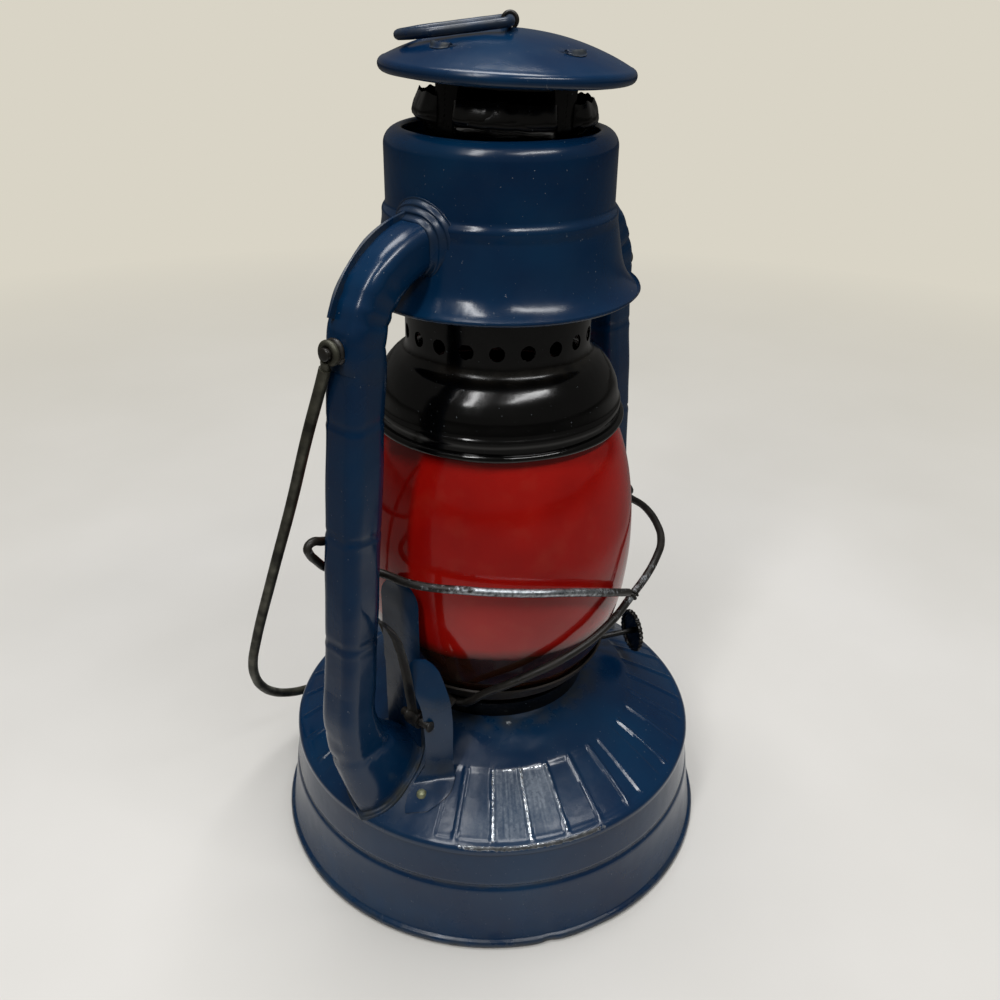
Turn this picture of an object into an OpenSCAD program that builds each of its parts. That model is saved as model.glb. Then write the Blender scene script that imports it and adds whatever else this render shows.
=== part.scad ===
// Tubular hand lantern: a sheet metal fount, two side tubes and a canopy make the frame.
// The globe rides on a plate inside wire guards, and the bell, crown and cap rise on top of it.
// Origin: centre of the flat under the bottom rim. +Z up, side tubes on the X axis, bail hangs to +Y.

/* [Fount] */
// Outside diameter of the rolled bottom rim
base_d = 165; // [156:1:180]
// Diameter over the crimped shoulder
shoulder_d = 152; // [144:1:155]
// Height of the shoulder above the table
shoulder_z = 42; // [36:0.5:48]
// Height of the flat on top of the fount
fount_top_z = 62.5; // [59:0.5:66]
// Diameter of the flat on top of the fount
fount_top_d = 70; // [69:0.5:74]
// Thickness of the painted sheet metal
sheet_t = 0.8; // [0.6:0.05:1]
// Radius of the rolled edge under the skirt
rim_roll_r = 1.6; // [1.3:0.1:1.9]
// Height of the pressed groove round the skirt
groove_z = 25.5; // [18:0.5:32]
// Depth of the pressed groove round the skirt
groove_depth = 0.7; // [0.3:0.1:1]
// Height of the recessed bottom pan
pan_z = 6; // [4.5:0.5:9]
// Number of places for radial ribs round the top of the fount
rib_count = 36; // [30:1:40]
// Height of the pressed ribs
rib_h = 0.6; // [0.3:0.1:1]

/* [Side tubes] */
// Radial depth of a side tube
tube_depth = 14; // [12:0.5:15]
// Width of a side tube across
tube_width = 15; // [13:0.5:16]
// Corner radius of a side tube
tube_corner_r = 4.5; // [3:0.5:5]
// Wall of a side tube
tube_wall = 1; // [0.8:0.1:1.4]
// Height at which the tubes enter the canopy
tube_top_z = 229.5; // [227:0.5:232]
// Bend radius of the tube elbow, to the middle of the tube
elbow_r = 27; // [24:0.5:29]
// Outward lean of the straight legs in degrees
tube_lean = 5.7; // [4.5:0.1:6.5]
// How far the standing seam stands out from a tube
seam_h = 1.6; // [1:0.1:2]
// Height at which a tube starts to flare into its foot
foot_z = 92; // [86:1:98]
// Half width of the foot where it meets the fount
foot_half_w = 12.5; // [11:0.5:13.5]
// Width of the soldered flange round the foot
foot_flange = 1.8; // [1:0.1:2.4]

/* [Canopy] */
// Outside diameter of the canopy
canopy_d = 69.6; // [68:0.2:73]
// Height of the top of the canopy
canopy_top_z = 257.6; // [255:0.2:259]
// Diameter of the open top of the canopy
canopy_open_d = 58; // [57:0.2:59]
// Diameter over the flared lower lip
canopy_lip_d = 89; // [86:0.5:94]
// Height of the flared lower lip
canopy_lip_z = 210.5; // [208:0.5:212]
// Height of the pressed bead round the canopy
canopy_bead_z = 234; // [232:0.5:236]

/* [Bell, crown and cap] */
// Diameter of the bell neck
bell_neck_d = 60; // [58:0.5:61]
// Diameter over the rolled lower rim of the bell
bell_rim_d = 85; // [84:0.5:87]
// Height of the lower rim of the bell
bell_rim_z = 167.3; // [166.5:0.1:168.5]
// Number of round air holes in the bell neck
bell_hole_count = 20; // [16:1:22]
// Diameter of the air holes in the bell neck
bell_hole_d = 4.8; // [3.5:0.1:5.4]
// Diameter of the crown
crown_d = 47.6; // [46:0.2:49]
// How far the crown lips stand out
crown_lip = 3.2; // [2:0.1:4]
// Outside diameter of the cap
cap_d = 74.2; // [72:0.2:80]
// Height of the middle of the rolled cap rim
cap_rim_z = 273; // [272:0.1:275]
// Rise of the cap dome above its rolled rim
cap_rise = 8.6; // [7.6:0.2:11]
// Lean of the crown and cap in degrees
cap_lean = 2; // [0:0.5:3]

/* [Globe and guard] */
// Largest diameter of the glass globe
globe_d = 97; // [95:0.5:98]
// Thickness of the glass
glass_t = 2.4; // [1.8:0.1:3]
// Height of the globe plate above the burner gallery
plate_rise = 3.4; // [3.3:0.1:4]
// Thickness of the guard wire
guard_wire_d = 2.8; // [2.4:0.1:3.2]
// How far the lever raises the globe
globe_lift = 12; // [8:0.5:12]

/* [Lever] */
// Height of the lever pivot above the globe plate
pivot_rise = 4.6; // [4.2:0.1:5]
// Distance of the lever pivot from the middle of the lantern
pivot_x = 55.5; // [55:0.5:56.5]
// Width of the lever strip
lever_w = 5; // [4:0.5:5.5]
// Thickness of the lever and its brackets
strap_t = 1.2; // [1:0.1:1.5]
// Height of the upright guide plate
guide_top_z = 124.5; // [118:0.5:125]
// Width of the upright guide plate
guide_w = 16; // [12:0.5:17]
// Diameter of the pivot pin
pin_d = 3; // [2.5:0.1:3.5]
// Radial clearance of turning pins
run_gap = 0.08; // [0.04:0.01:0.1]
// Clearance between parts that move past each other
gap = 0.35; // [0.3:0.05:0.5]

/* [Bail and lift ring] */
// Thickness of the bail wire
bail_wire_d = 3.6; // [3:0.1:4]
// Half width of the bail between the middles of its arms
bail_half_w = 70.4; // [70:0.2:74]
// Length of the straight bail arms
bail_arm = 136; // [130:1:142]
// Height of the bail ears
ear_z = 206; // [203:0.5:208]
// Space between the hanging bail and the fount
bail_clear = 1.2; // [1:0.1:5]
// Thickness of the lift ring wire
ring_wire_d = 2.8; // [2.4:0.1:3.2]
// Length of the lift ring
ring_len = 31.6; // [28:0.2:36]
// Width of the lift ring
ring_w = 24; // [20:1:28]

/* [Burner and filler] */
// Outside diameter of the burner gallery
gallery_d = 68; // [66:0.5:68.5]
// Height of the burner gallery
gallery_h = 5.6; // [5:0.1:6]
// Width of the flat wick
wick_w = 18; // [14:1:20]
// Thickness of the flat wick
wick_t = 2.4; // [2:0.1:3]
// Diameter of the wick shaft
shaft_d = 2.2; // [2:0.1:2.6]
// Diameter of the wick knob
knob_d = 16.2; // [14:0.2:17]
// Distance from the middle of the lantern to the wick knob
knob_reach = 59; // [56:0.5:62]
// Outside diameter of the filler neck
filler_d = 21; // [18:0.5:22]
// Height of the mouth of the filler neck above the top of the fount
filler_rise = 4; // [3:0.5:6]

/* [Hidden] */
$fn = 96;

base_r = base_d / 2;
shoulder_r = shoulder_d / 2;
top_r = fount_top_d / 2;
cap_r = cap_d / 2;
globe_r = globe_d / 2;
crown_r = crown_d / 2;
chimney_r = crown_r - sheet_t - 0.1;
filler_z = fount_top_z + filler_rise;
gallery_top_z = fount_top_z + gallery_h;
plate_floor_z = gallery_top_z + plate_rise;
globe_z = plate_floor_z + sheet_t + 0.05;
globe_top_z = bell_rim_z + 4;
pivot_z = plate_floor_z + pivot_rise;
filler_reach = 54;
neck_wall = 1;
// Drawing overlap for cuts that run past a face
cut = 2;

// Directions round the lantern, in degrees from +X
front_az = 220;
knob_az = -30;
filler_az = 45;
ring_az = 130;

// Left normal of the step from a to b
function step_normal(a, b) = let (d = b - a) [-d[1], d[0]] / norm(d);

// Point of an outline moved sideways by t, mitred at corners
function side_point(p, i, t) =
  let (
    n1 = i == 0 ? step_normal(p[0], p[1]) : step_normal(p[i - 1], p[i]),
    n2 = i == len(p) - 1 ? n1 : step_normal(p[i], p[i + 1])
  ) p[i] + t * (n1 + n2) / (1 + n1 * n2);

// Closed outline of a wall of thickness t on the left of a line of points
function wall(p, t) =
  concat(p, [for (i = [len(p) - 1:-1:0]) side_point(p, i, t)]);

// Points of an arc in the r, z plane
function arc(c, r, a0, a1, n = 8) =
  [for (i = [0:n]) let (a = a0 + (a1 - a0) * i / n) c + r * [cos(a), sin(a)]];

// Smooth line through a few points, n steps between each pair
function bend(p, n = 4) =
  let (
    last = len(p) - 1,
    mid = [for (i = [0:last - 1], k = [0:n - 1])
      let (
        t = k / n,
        a = p[max(i - 1, 0)],
        b = p[i],
        c = p[i + 1],
        d = p[min(i + 2, last)]
      ) 0.5 * (2 * b + (c - a) * t + (2 * a - 5 * b + 4 * c - d) * t * t
        + (3 * b - a - 3 * c + d) * t * t * t)]
  ) concat(mid, [p[last]]);

// Point at radius r, direction az and height z
function polar(r, az, z) = [r * cos(az), r * sin(az), z];

function unit(v) = v / norm(v);

// Middle of a ring of points
function centre(ring) = [for (i = [0:2]) let (v = [for (p = ring) p[i]]) v * [for (p = ring) 1] / len(ring)];

// Solid through a list of rings with the same number of points each, closed at both ends
module loft(rings) {
  n = len(rings[0]);
  m = len(rings);
  sides = [for (i = [0:m - 2], k = [0:n - 1])
    let (a = i * n + k, b = i * n + (k + 1) % n) each [[a, b, b + n], [a, b + n, a + n]]];
  first = [for (k = [0:n - 1]) [m * n, (k + 1) % n, k]];
  final = [for (k = [0:n - 1]) [m * n + 1, (m - 1) * n + k, (m - 1) * n + (k + 1) % n]];
  polyhedron(
    points = concat([for (ring = rings) each ring], [centre(rings[0]), centre(rings[m - 1])]),
    faces = concat(first, sides, final)
  );
}

// Round wire of diameter d along a list of points
module wire(path, d, sides = 8) {
  last = len(path) - 1;
  dirs = [for (i = [0:last]) unit(path[min(i + 1, last)] - path[max(i - 1, 0)])];
  start = unit(cross(dirs[0], abs(dirs[0][2]) < 0.8 ? [0, 0, 1] : [1, 0, 0]));
  across = [for (i = 0, a = start; i <= last;
    i = i + 1, a = i > last ? a : unit(a - (a * dirs[i]) * dirs[i])) a];
  loft([for (i = [0:last])
    [for (k = [0:sides - 1])
      let (u = -360 * k / sides)
        path[i] + d / 2 * (cos(u) * across[i] + sin(u) * cross(dirs[i], across[i]))]]);
}

// Ring about Z from an outline in the r, z plane
module turned(points) {
  rotate_extrude() polygon(points);
}

// Fount

// Height of the fount's top surface at radius r
function dome_z(r) =
  fount_top_z - (fount_top_z - shoulder_z) * pow(max(r - top_r, 0) / (shoulder_r - top_r), 1.2);

skirt_top = [shoulder_r - sheet_t / 2 - 0.08, shoulder_z - 1.6];
skirt_low = [base_r - rim_roll_r, rim_roll_r + 0.8];

// Outer radius of the plain skirt at height z
function skirt_r(z) =
  skirt_low[0] + (skirt_top[0] - skirt_low[0]) * (z - skirt_low[1]) / (skirt_top[1] - skirt_low[1]);

skirt_line = [
  skirt_top,
  [skirt_top[0], shoulder_z - 3.2],
  [skirt_r(groove_z + 1.6), groove_z + 1.6],
  [skirt_r(groove_z) - groove_depth, groove_z + 0.5],
  [skirt_r(groove_z) - groove_depth, groove_z - 0.3],
  [skirt_r(groove_z - 1.4) + 0.4, groove_z - 1.4],
  [skirt_r(groove_z - 4) + 0.2, groove_z - 4],
  skirt_low
];

module fount_skirt() {
  color("#1d3557") difference() {
    union() {
      turned(wall(skirt_line, -sheet_t));
      translate([0, 0, rim_roll_r * 0.8])
        rotate_extrude() translate([base_r - rim_roll_r, 0]) circle(r = rim_roll_r, $fn = 32);
    }
    translate([0, 0, -cut]) cylinder(h = cut, r = base_r + cut);
  }
}

pan_r = skirt_r(pan_z + sheet_t) - sheet_t - 0.1;

module fount_bottom() {
  color("#1d3557") turned([
    [0, pan_z], [pan_r - sheet_t, pan_z], [pan_r - sheet_t, pan_z - 2.5],
    [pan_r, pan_z - 2.5], [pan_r, pan_z + sheet_t], [0, pan_z + sheet_t]
  ]);
}

dome_steps = 10;
dome_line = concat(
  [[shoulder_r + sheet_t / 2, shoulder_z - 2.6], [shoulder_r + sheet_t / 2, shoulder_z - 0.8]],
  [for (i = [0:dome_steps])
    let (r = shoulder_r - 0.6 + (top_r - shoulder_r + 0.6) * i / dome_steps) [r, dome_z(r)]],
  [[gallery_d / 2 - 12, fount_top_z]]
);

// Everything under the top surface of the fount raised by lift, for seating pieces on it
module under_dome(lift = 0) {
  turned(concat(
    [[0, 0], [shoulder_r + 8, 0], [shoulder_r + 8, shoulder_z - 6]],
    [for (i = [0:dome_steps])
      let (r = shoulder_r - 0.6 + (top_r - shoulder_r + 0.6) * i / dome_steps) [r, dome_z(r) + lift]],
    [[0, fount_top_z + lift]]
  ));
}

rib_in_r = 52.6;
rib_out_r = shoulder_r - 2.2;
// Turn of the first rib from +X, and the place that stays plain
rib_turn = 1;
rib_deg = 1.6;
plain_az = 271;
bracket_foot_az = 198;

module rib() {
  steps = 5;
  line = [for (i = [0:steps])
    let (r = rib_out_r + (rib_in_r - rib_out_r) * i / steps)
      [r, dome_z(r) + (i == 0 || i == steps ? 0.05 : rib_h)]];
  back = [for (i = [steps:-1:0])
    let (r = rib_out_r + (rib_in_r - rib_out_r) * i / steps) [r, dome_z(r) - sheet_t / 2]];
  rotate(-rib_deg / 2) rotate_extrude(angle = rib_deg) polygon(concat(line, back));
}

// Ribs keep clear of the tube feet, the lever bracket, the filler and the plain place
function rib_fits(az) =
  abs(sin(az)) > 0.26 && abs(az - filler_az) > 18 && abs(az - bracket_foot_az) > 10 && abs(az - plain_az) > 4;

module fount_dome() {
  color("#1d3557") difference() {
    union() {
      turned(wall(dome_line, sheet_t));
      for (i = [0:rib_count - 1])
        let (az = rib_turn + i * 360 / rib_count)
          if (rib_fits(az)) rotate(az) rib();
    }
    rotate(filler_az) translate([filler_reach, 0, 0])
      cylinder(h = filler_z, r = filler_d / 2 - neck_wall);
  }
}

module filler_neck() {
  color("#1d3557") rotate(filler_az) difference() {
    translate([filler_reach, 0, shoulder_z]) {
      cylinder(h = filler_z - shoulder_z, r = filler_d / 2);
    }
    translate([filler_reach, 0, shoulder_z - cut])
      cylinder(h = filler_z - shoulder_z + 2 * cut, r = filler_d / 2 - neck_wall);
    under_dome(0.02);
  }
}

// Side tubes

leg_x = bail_half_w - 9.4;
elbow_c = [leg_x - elbow_r, tube_top_z - elbow_r];

// Middle of the tube leg at height z
function leg_mid(z) =
  elbow_c[0] + elbow_r * cos(tube_lean) + (elbow_c[1] - elbow_r * sin(tube_lean) - z) * tan(tube_lean);

module tube_section(grow = 0) {
  w = tube_width + 2 * grow;
  d = tube_depth + 2 * grow;
  r = tube_corner_r + grow;
  square([d - 2 * r, w], center = true);
  square([d, w - 2 * r], center = true);
  for (x = [-1, 1], y = [-1, 1])
    translate([x * (d / 2 - r), y * (w / 2 - r)]) circle(r = r, $fn = 32);
}

seam_t = 1.2;
// The seam starts this many degrees up the elbow, above the bail ear
seam_from = 18;

// Section of the standing seam on the outer side of the elbow
module seam_section(grow) {
  translate([tube_depth / 2 - 0.5, -seam_t / 2 - grow]) square([seam_h + 0.5 + grow, seam_t + 2 * grow]);
}

// The tubes reach just inside the canopy wall
tube_end_x = canopy_d / 2 - 0.75;

// Leg and elbow swept with a section, on the +X side
module tube_run(grow = 0) {
  leg_top = [elbow_c[0] + elbow_r * cos(tube_lean), elbow_c[1] - elbow_r * sin(tube_lean)];
  leg_len = (leg_top[1] - foot_z) / cos(tube_lean) + (grow < 0 ? cut : 0);
  translate([leg_top[0], 0, leg_top[1]])
    rotate([0, 180 - tube_lean, 0]) mirror([1, 0, 0])
      linear_extrude(leg_len) tube_section(grow);
  translate([elbow_c[0], 0, elbow_c[1]]) rotate([90, 0, 0]) {
    rotate(-tube_lean) rotate_extrude(angle = 90 + tube_lean) translate([elbow_r, 0]) tube_section(grow);
    if (grow >= 0)
      rotate(seam_from) rotate_extrude(angle = 90 - seam_from) translate([elbow_r, 0]) seam_section(grow);
  }
  if (elbow_c[0] > tube_end_x)
    translate([tube_end_x, 0, tube_top_z]) rotate([90, 0, 90])
      linear_extrude(elbow_c[0] - tube_end_x) rotate(90) {
        tube_section(grow);
        if (grow >= 0) seam_section(grow);
      }
}

module side_tube() {
  difference() {
    tube_run();
    tube_run(-tube_wall);
    in_canopy(0.06);
  }
}

module left_tube() { color("#1d3557") rotate(180) side_tube(); }
module right_tube() { color("#1d3557") side_tube(); }

// Outline of the foot on the fount: pointed at the shoulder, rounded towards the middle
foot_out_x = shoulder_r - 0.6;
foot_in_x = 45;
foot_wide_x = 62;

function foot_outline(u) =
  let (
    s = sin(u),
    c = cos(u),
    x = c > 0 ? foot_wide_x + (foot_out_x - foot_wide_x) * c : foot_wide_x + (foot_wide_x - foot_in_x) * c,
    y = foot_half_w * (c > 0 ? sign(s) * pow(abs(s), 1.25) : s)
  ) [x, y];

function tube_outline(u, inset = 0) =
  let (k = 0.42)
    [(tube_depth / 2 - inset) * sign(cos(u)) * pow(abs(cos(u)), k),
     (tube_width / 2 - inset) * sign(sin(u)) * pow(abs(sin(u)), k)];

foot_sides = 32;
foot_levels = 9;

// Ring of the foot at step s from the tube down to the fount, grown outward by g at the fount
function foot_ring(s, g = 0, inset = 0) = [for (k = [0:foot_sides - 1])
  let (
    u = 360 * k / foot_sides,
    a = tube_outline(u, inset),
    b = foot_outline(u),
    low_xy = b + unit(b - [foot_wide_x, 0]) * (g - inset),
    top = [leg_mid(foot_z) + a[0] * cos(tube_lean), a[1], foot_z + a[0] * sin(tube_lean)],
    low = [low_xy[0], low_xy[1], dome_z(norm(low_xy))],
    f = pow(s, 2.2),
    bow = foot_bow * s * (1 - s)
  ) [top[0] + (low[0] - top[0]) * f + bow, top[1] + (low[1] - top[1]) * f, top[2] + (low[2] - top[2]) * s]];

// The legs go on leaning outward a little before the foot turns in
foot_bow = 9;

function shifted(ring, dz) = [for (p = ring) p + [0, 0, dz]];

foot_flange_h = 0.9;

// Outside of the foot with its flange, grown all round by g
module foot_outside(g = 0) {
  loft(concat(
    [for (i = [0:foot_levels])
      shifted(foot_ring(i / foot_levels, 0, -g), i == foot_levels ? foot_flange_h + g : 0)],
    [shifted(foot_ring(1, foot_flange, -g), foot_flange_h + g), shifted(foot_ring(1, foot_flange, -g), -3)]
  ));
}

module tube_foot() {
  difference() {
    foot_outside();
    loft(concat(
      [shifted(foot_ring(0, 0, tube_wall), cut)],
      [for (i = [0:foot_levels]) foot_ring(i / foot_levels, 0, tube_wall)],
      [shifted(foot_ring(1, 0, tube_wall), -3 - cut)]
    ));
    under_dome(0.03);
  }
}

module left_tube_foot() { color("#1d3557") rotate(180) tube_foot(); }
module right_tube_foot() { color("#1d3557") tube_foot(); }

// Canopy

canopy_side_r = canopy_d / 2;
canopy_open_r = canopy_open_d / 2;
canopy_lip_r = canopy_lip_d / 2;
canopy_round = 4.8;
canopy_flare_z = canopy_bead_z - 1.4;

canopy_line = concat(
  [[canopy_open_r, canopy_top_z - 3]],
  arc([canopy_open_r + 1, canopy_top_z - 1], 1, 180, 90, 3),
  arc([canopy_side_r - canopy_round, canopy_top_z - canopy_round], canopy_round, 84, 0, 6),
  [[canopy_side_r, canopy_bead_z + 1.4], [canopy_side_r + 1, canopy_bead_z + 0.3],
   [canopy_side_r + 1, canopy_bead_z - 0.5]],
  [for (i = [0:12])
    let (t = i / 12)
      [canopy_side_r + 1.1 + (canopy_lip_r - canopy_side_r - 1.6) * (0.48 * t + 0.52 * pow(t, 6)),
       canopy_flare_z + (canopy_lip_z + 0.8 - canopy_flare_z) * t]]
);

// Everything inside the outer face of the canopy grown by g, for pieces that meet it
module in_canopy(g) {
  side = [for (p = canopy_line) if (p[0] > canopy_side_r - 0.5) p + [g, 0]];
  turned(concat([[0, canopy_top_z - canopy_round]], side, [[0, canopy_lip_z]]));
}

module canopy() {
  color("#1d3557") difference() {
    union() {
      turned(wall(canopy_line, -sheet_t));
      translate([0, 0, canopy_lip_z + 0.9])
        rotate_extrude() translate([canopy_lip_r - 0.9, 0]) circle(r = 0.9, $fn = 24);
    }
    for (side = [0, 180]) rotate(side)
      translate([canopy_side_r - 6, 0, tube_top_z]) rotate([0, 90, 0])
        cylinder(h = 12, r = tube_depth / 2 - tube_wall);
  }
}

collar_r = 12.8;
collar_step = 1.6;

// Pressed collar where a tube enters the canopy, with two raised rings
module tube_collar() {
  difference() {
    translate([0, 0, tube_top_z]) rotate([0, 90, 0]) {
      cylinder(h = canopy_side_r + 5, r = collar_r - collar_step);
      cylinder(h = canopy_side_r + 5 - collar_step, r = collar_r);
    }
    in_canopy(0.06);
    tube_run(0.06);
  }
}

module left_tube_collar() { color("#1d3557") rotate(180) tube_collar(); }
module right_tube_collar() { color("#1d3557") tube_collar(); }

// Bail ears: a stud with a head on the outer face of each tube

bail_pin_r = 2.2;
bail_eye_r = bail_pin_r + 1.9;
bail_eye_w = 3.2;
ear_head_r = 3.8;

module ear() {
  root = 10;
  face_x = leg_x - tube_depth / 2 - 2;
  difference() {
    translate([0, 0, ear_z]) rotate([0, 90, 0]) {
      translate([0, 0, bail_half_w - bail_eye_w / 2 - gap - root])
        cylinder(h = root, r = 3.4, $fn = 48);
      cylinder(h = bail_half_w + bail_eye_w / 2 + gap + 0.1, r = bail_pin_r, $fn = 48);
      translate([0, 0, bail_half_w + bail_eye_w / 2 + gap]) cylinder(h = 1.6, r = ear_head_r, $fn = 48);
    }
    cylinder(h = 300, r = leg_x);
    tube_run(0.04);
  }
}

module left_ear() { color("#202428") rotate(180) ear(); }
module right_ear() { color("#202428") ear(); }

// Lever, its guide and bracket, beside the left tube

lever_y = -(tube_width / 2 + gap + lever_w / 2 + 0.6);

// Direction of the guide plate and its distance from the globe
guide_az = 183;
guide_off = 2.2;
// Height above the pivot up to which the plate leaves room for the lever
guide_room = 13;

// The guide plate stands on the foot of the left tube and leaves room for the lever arm at its edge
module guide_plate() {
  round_z = guide_top_z - guide_w / 2;
  color("#1d3557") difference() {
    rotate(guide_az) translate([globe_r + guide_off, 0, 0]) {
      translate([0, -guide_w / 2, shoulder_z]) cube([strap_t, guide_w, round_z - shoulder_z]);
      translate([0, 0, round_z]) rotate([0, 90, 0]) cylinder(h = strap_t, d = guide_w);
    }
    rotate(180) foot_outside(0.05);
    under_dome(0.05);
    translate([-pivot_x, lever_y + lever_w / 2 + gap - guide_w, 0])
      cube([guide_w, guide_w, pivot_z + guide_room]);
  }
}

// The bracket stands across the view from the front, between plan points
bracket_left = [-58.6, -15.5];
bracket_az = -46;
bracket_foot = [-61, -20.5];
bracket_foot_r = 7;

bracket_w = 14.6;

// Outline of the bracket from the shoulder up, around the height h of the pivot above the shoulder
function bracket_outline(h) = concat(
  [[bracket_w, 0], [bracket_w, h]],
  bend([[bracket_w - 0.2, h + 6], [bracket_w - 3, h + 14.5], [bracket_w - 7.6, h + 21.5],
    [2.6, h + 23.5], [0.3, h + 21]], 3),
  [[0, h + 16], [0, 0]]
);

module lever_bracket() {
  color("#1d3557") difference() {
    union() {
      translate([bracket_left[0], bracket_left[1], shoulder_z]) rotate([90, 0, bracket_az])
        linear_extrude(strap_t) polygon(bracket_outline(pivot_z - shoulder_z));
      intersection() {
        translate([bracket_foot[0], bracket_foot[1], shoulder_z]) cylinder(h = 20, r = bracket_foot_r);
        under_dome(strap_t);
        translate([bracket_left[0], bracket_left[1], 0]) rotate(bracket_az)
          translate([-10, -30, 0]) cube([40, 30, 100]);
      }
    }
    under_dome(0.04);
    translate([-pivot_x, -60, pivot_z]) rotate([-90, 0, 0]) cylinder(h = 60, d = pin_d + 0.02, $fn = 48);
    translate([bracket_foot[0], bracket_foot[1], 0]) cylinder(h = 100, d = rivet_d + 0.02, $fn = 32);
    rotate(180) tube_foot_block();
  }
}

// Space kept clear for the foot of a tube and its flange
module tube_foot_block() {
  loft([
    shifted(foot_ring(1, foot_flange + gap), 6),
    shifted(foot_ring(1, foot_flange + gap), -4)
  ]);
}

rivet_d = 2.6;

module bracket_rivet() {
  seat_z = dome_z(norm(bracket_foot)) + strap_t;
  color("#a8ac9c") difference() {
    translate([bracket_foot[0], bracket_foot[1], 0]) {
      cylinder(h = seat_z + 1.9, d = rivet_d, $fn = 32);
      difference() {
        cylinder(h = seat_z + 1.9, d = rivet_d + 2, $fn = 32);
        under_dome(strap_t + 0.05);
      }
    }
    under_dome(0.06);
  }
}

// Places along the pin: its outer end, the inner side of the bracket and its inner end
bracket_y = bracket_left[1] + (-pivot_x - bracket_left[0]) * tan(bracket_az);
pin_out_y = bracket_y - 4.4;
pin_step_y = bracket_y + 2.7;
pin_in_y = lever_y + lever_w / 2 + gap;
pin_head_t = 0.8;

module lever_pin() {
  color("#8d9196") translate([-pivot_x, 0, pivot_z]) rotate([-90, 0, 0]) {
    translate([0, 0, pin_out_y]) cylinder(h = pin_in_y - pin_out_y, d = pin_d, $fn = 48);
    translate([0, 0, pin_in_y]) cylinder(h = pin_head_t, d = pin_d + 1.6, $fn = 48);
    translate([0, 0, pin_step_y])
      cylinder(h = lever_y - lever_w / 2 - gap - pin_step_y, d = pin_d + 1.6, $fn = 48);
    translate([0, 0, pin_out_y - pin_head_t]) cylinder(h = pin_head_t, d = pin_d + 2, $fn = 48);
  }
}

// The arm reaches under the globe plate and the handle stands up beside the tube
arm_tip_x = globe_r - 10.5;
lever_arm = pivot_x - arm_tip_x;
lever_turn = asin(globe_lift / (lever_arm + 1));
handle_top = [67.5 - pivot_x, 122 - pivot_z];

module lift_lever() {
  w = lever_w;
  color("#2b2b2c") translate([-pivot_x, lever_y + w / 2, pivot_z]) rotate([90, 0, 0]) difference() {
    union() {
      cylinder(h = w, d = pin_d + 3, $fn = 48);
      linear_extrude(w) polygon([
        [1, -2.4], [lever_arm - 2.5, -3.6], [lever_arm, -2.8], [lever_arm, -1.5],
        [lever_arm - 2.5, -2.1], [2, 0.2]
      ]);
      linear_extrude(w) polygon(concat(
        [for (p = handle_line) p + [-strap_t / 2, 0]],
        [for (i = [len(handle_line) - 1:-1:0]) handle_line[i] + [strap_t / 2, 0]]
      ));
    }
    translate([0, 0, -cut]) cylinder(h = w + 2 * cut, r = pin_d / 2 + run_gap, $fn = 48);
  }
}

handle_line = bend([
  [-0.5, 2.2], [-1.6, 10], [-3.2, 22], [-6.4, 36], [-handle_top[0], handle_top[1]]
], 3);

// Globe plate, globe and wire guards

plate_rim_r = globe_r - 7.6;
plate_rim_z = plate_floor_z + 7.2;
plate_hole_r = 24.5;
plate_ring_r = gallery_d / 2 - 1.4;

plate_line = [
  [plate_hole_r, plate_floor_z + 1.6], [plate_hole_r, plate_floor_z],
  [plate_rim_r - 5.3, plate_floor_z], [plate_rim_r - 2.7, plate_floor_z + 2.2],
  [plate_rim_r - 0.6, plate_rim_z - 0.6],
  [plate_rim_r + 0.3, plate_rim_z]
];

module globe_plate() {
  color("#17181a") difference() {
    union() {
      turned(wall(plate_line, sheet_t));
      translate([0, 0, gallery_top_z + gap]) difference() {
        cylinder(h = plate_floor_z - gallery_top_z - gap + 0.1, r = plate_ring_r);
        translate([0, 0, -cut])
          cylinder(h = plate_floor_z - gallery_top_z + 2 * cut, r = plate_ring_r - sheet_t);
      }
    }
    for (i = [0:15]) rotate(i * 22.5)
      translate([29, 0, plate_floor_z - cut]) cylinder(h = 2 * cut, d = 4, $fn = 24);
  }
}

// The mouth of the globe stands inside the rim of the bell
mouth_r = bell_rim_d / 2 - 6;

// Outline of the globe from its foot to its mouth
globe_line = concat(
  [[globe_r - 15.6, globe_z]],
  bend([
    [globe_r - 13, globe_z + 0.6], [globe_r - 10.6, globe_z + 4.4], [globe_r - 7.2, globe_z + 10.4],
    [globe_r - 3.9, globe_z + 19], [globe_r - 1.4, globe_z + 30], [globe_r - 0.1, globe_z + 45],
    [globe_r - 0.3, globe_z + 57], [globe_r - 1.2, globe_z + 67], [globe_r - 2.9, globe_z + 77],
    [globe_r - 5.8, globe_z + 87], [mouth_r + 2.7, globe_top_z - 5], [mouth_r + 1.6, globe_top_z - 2],
    [mouth_r, globe_top_z]
  ], 3)
);

module globe() {
  color("#a31217") turned(wall(globe_line, glass_t));
}

// The wires run under the plate, close outside the ring that stands on the gallery
guard_r = guard_wire_d / 2;
under_plate_z = plate_floor_z - guard_r - 0.06;
wire_seat_r = plate_ring_r + guard_r + 0.2;

loop_cross = polar(globe_r + 4.4, 285, 108);

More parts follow.
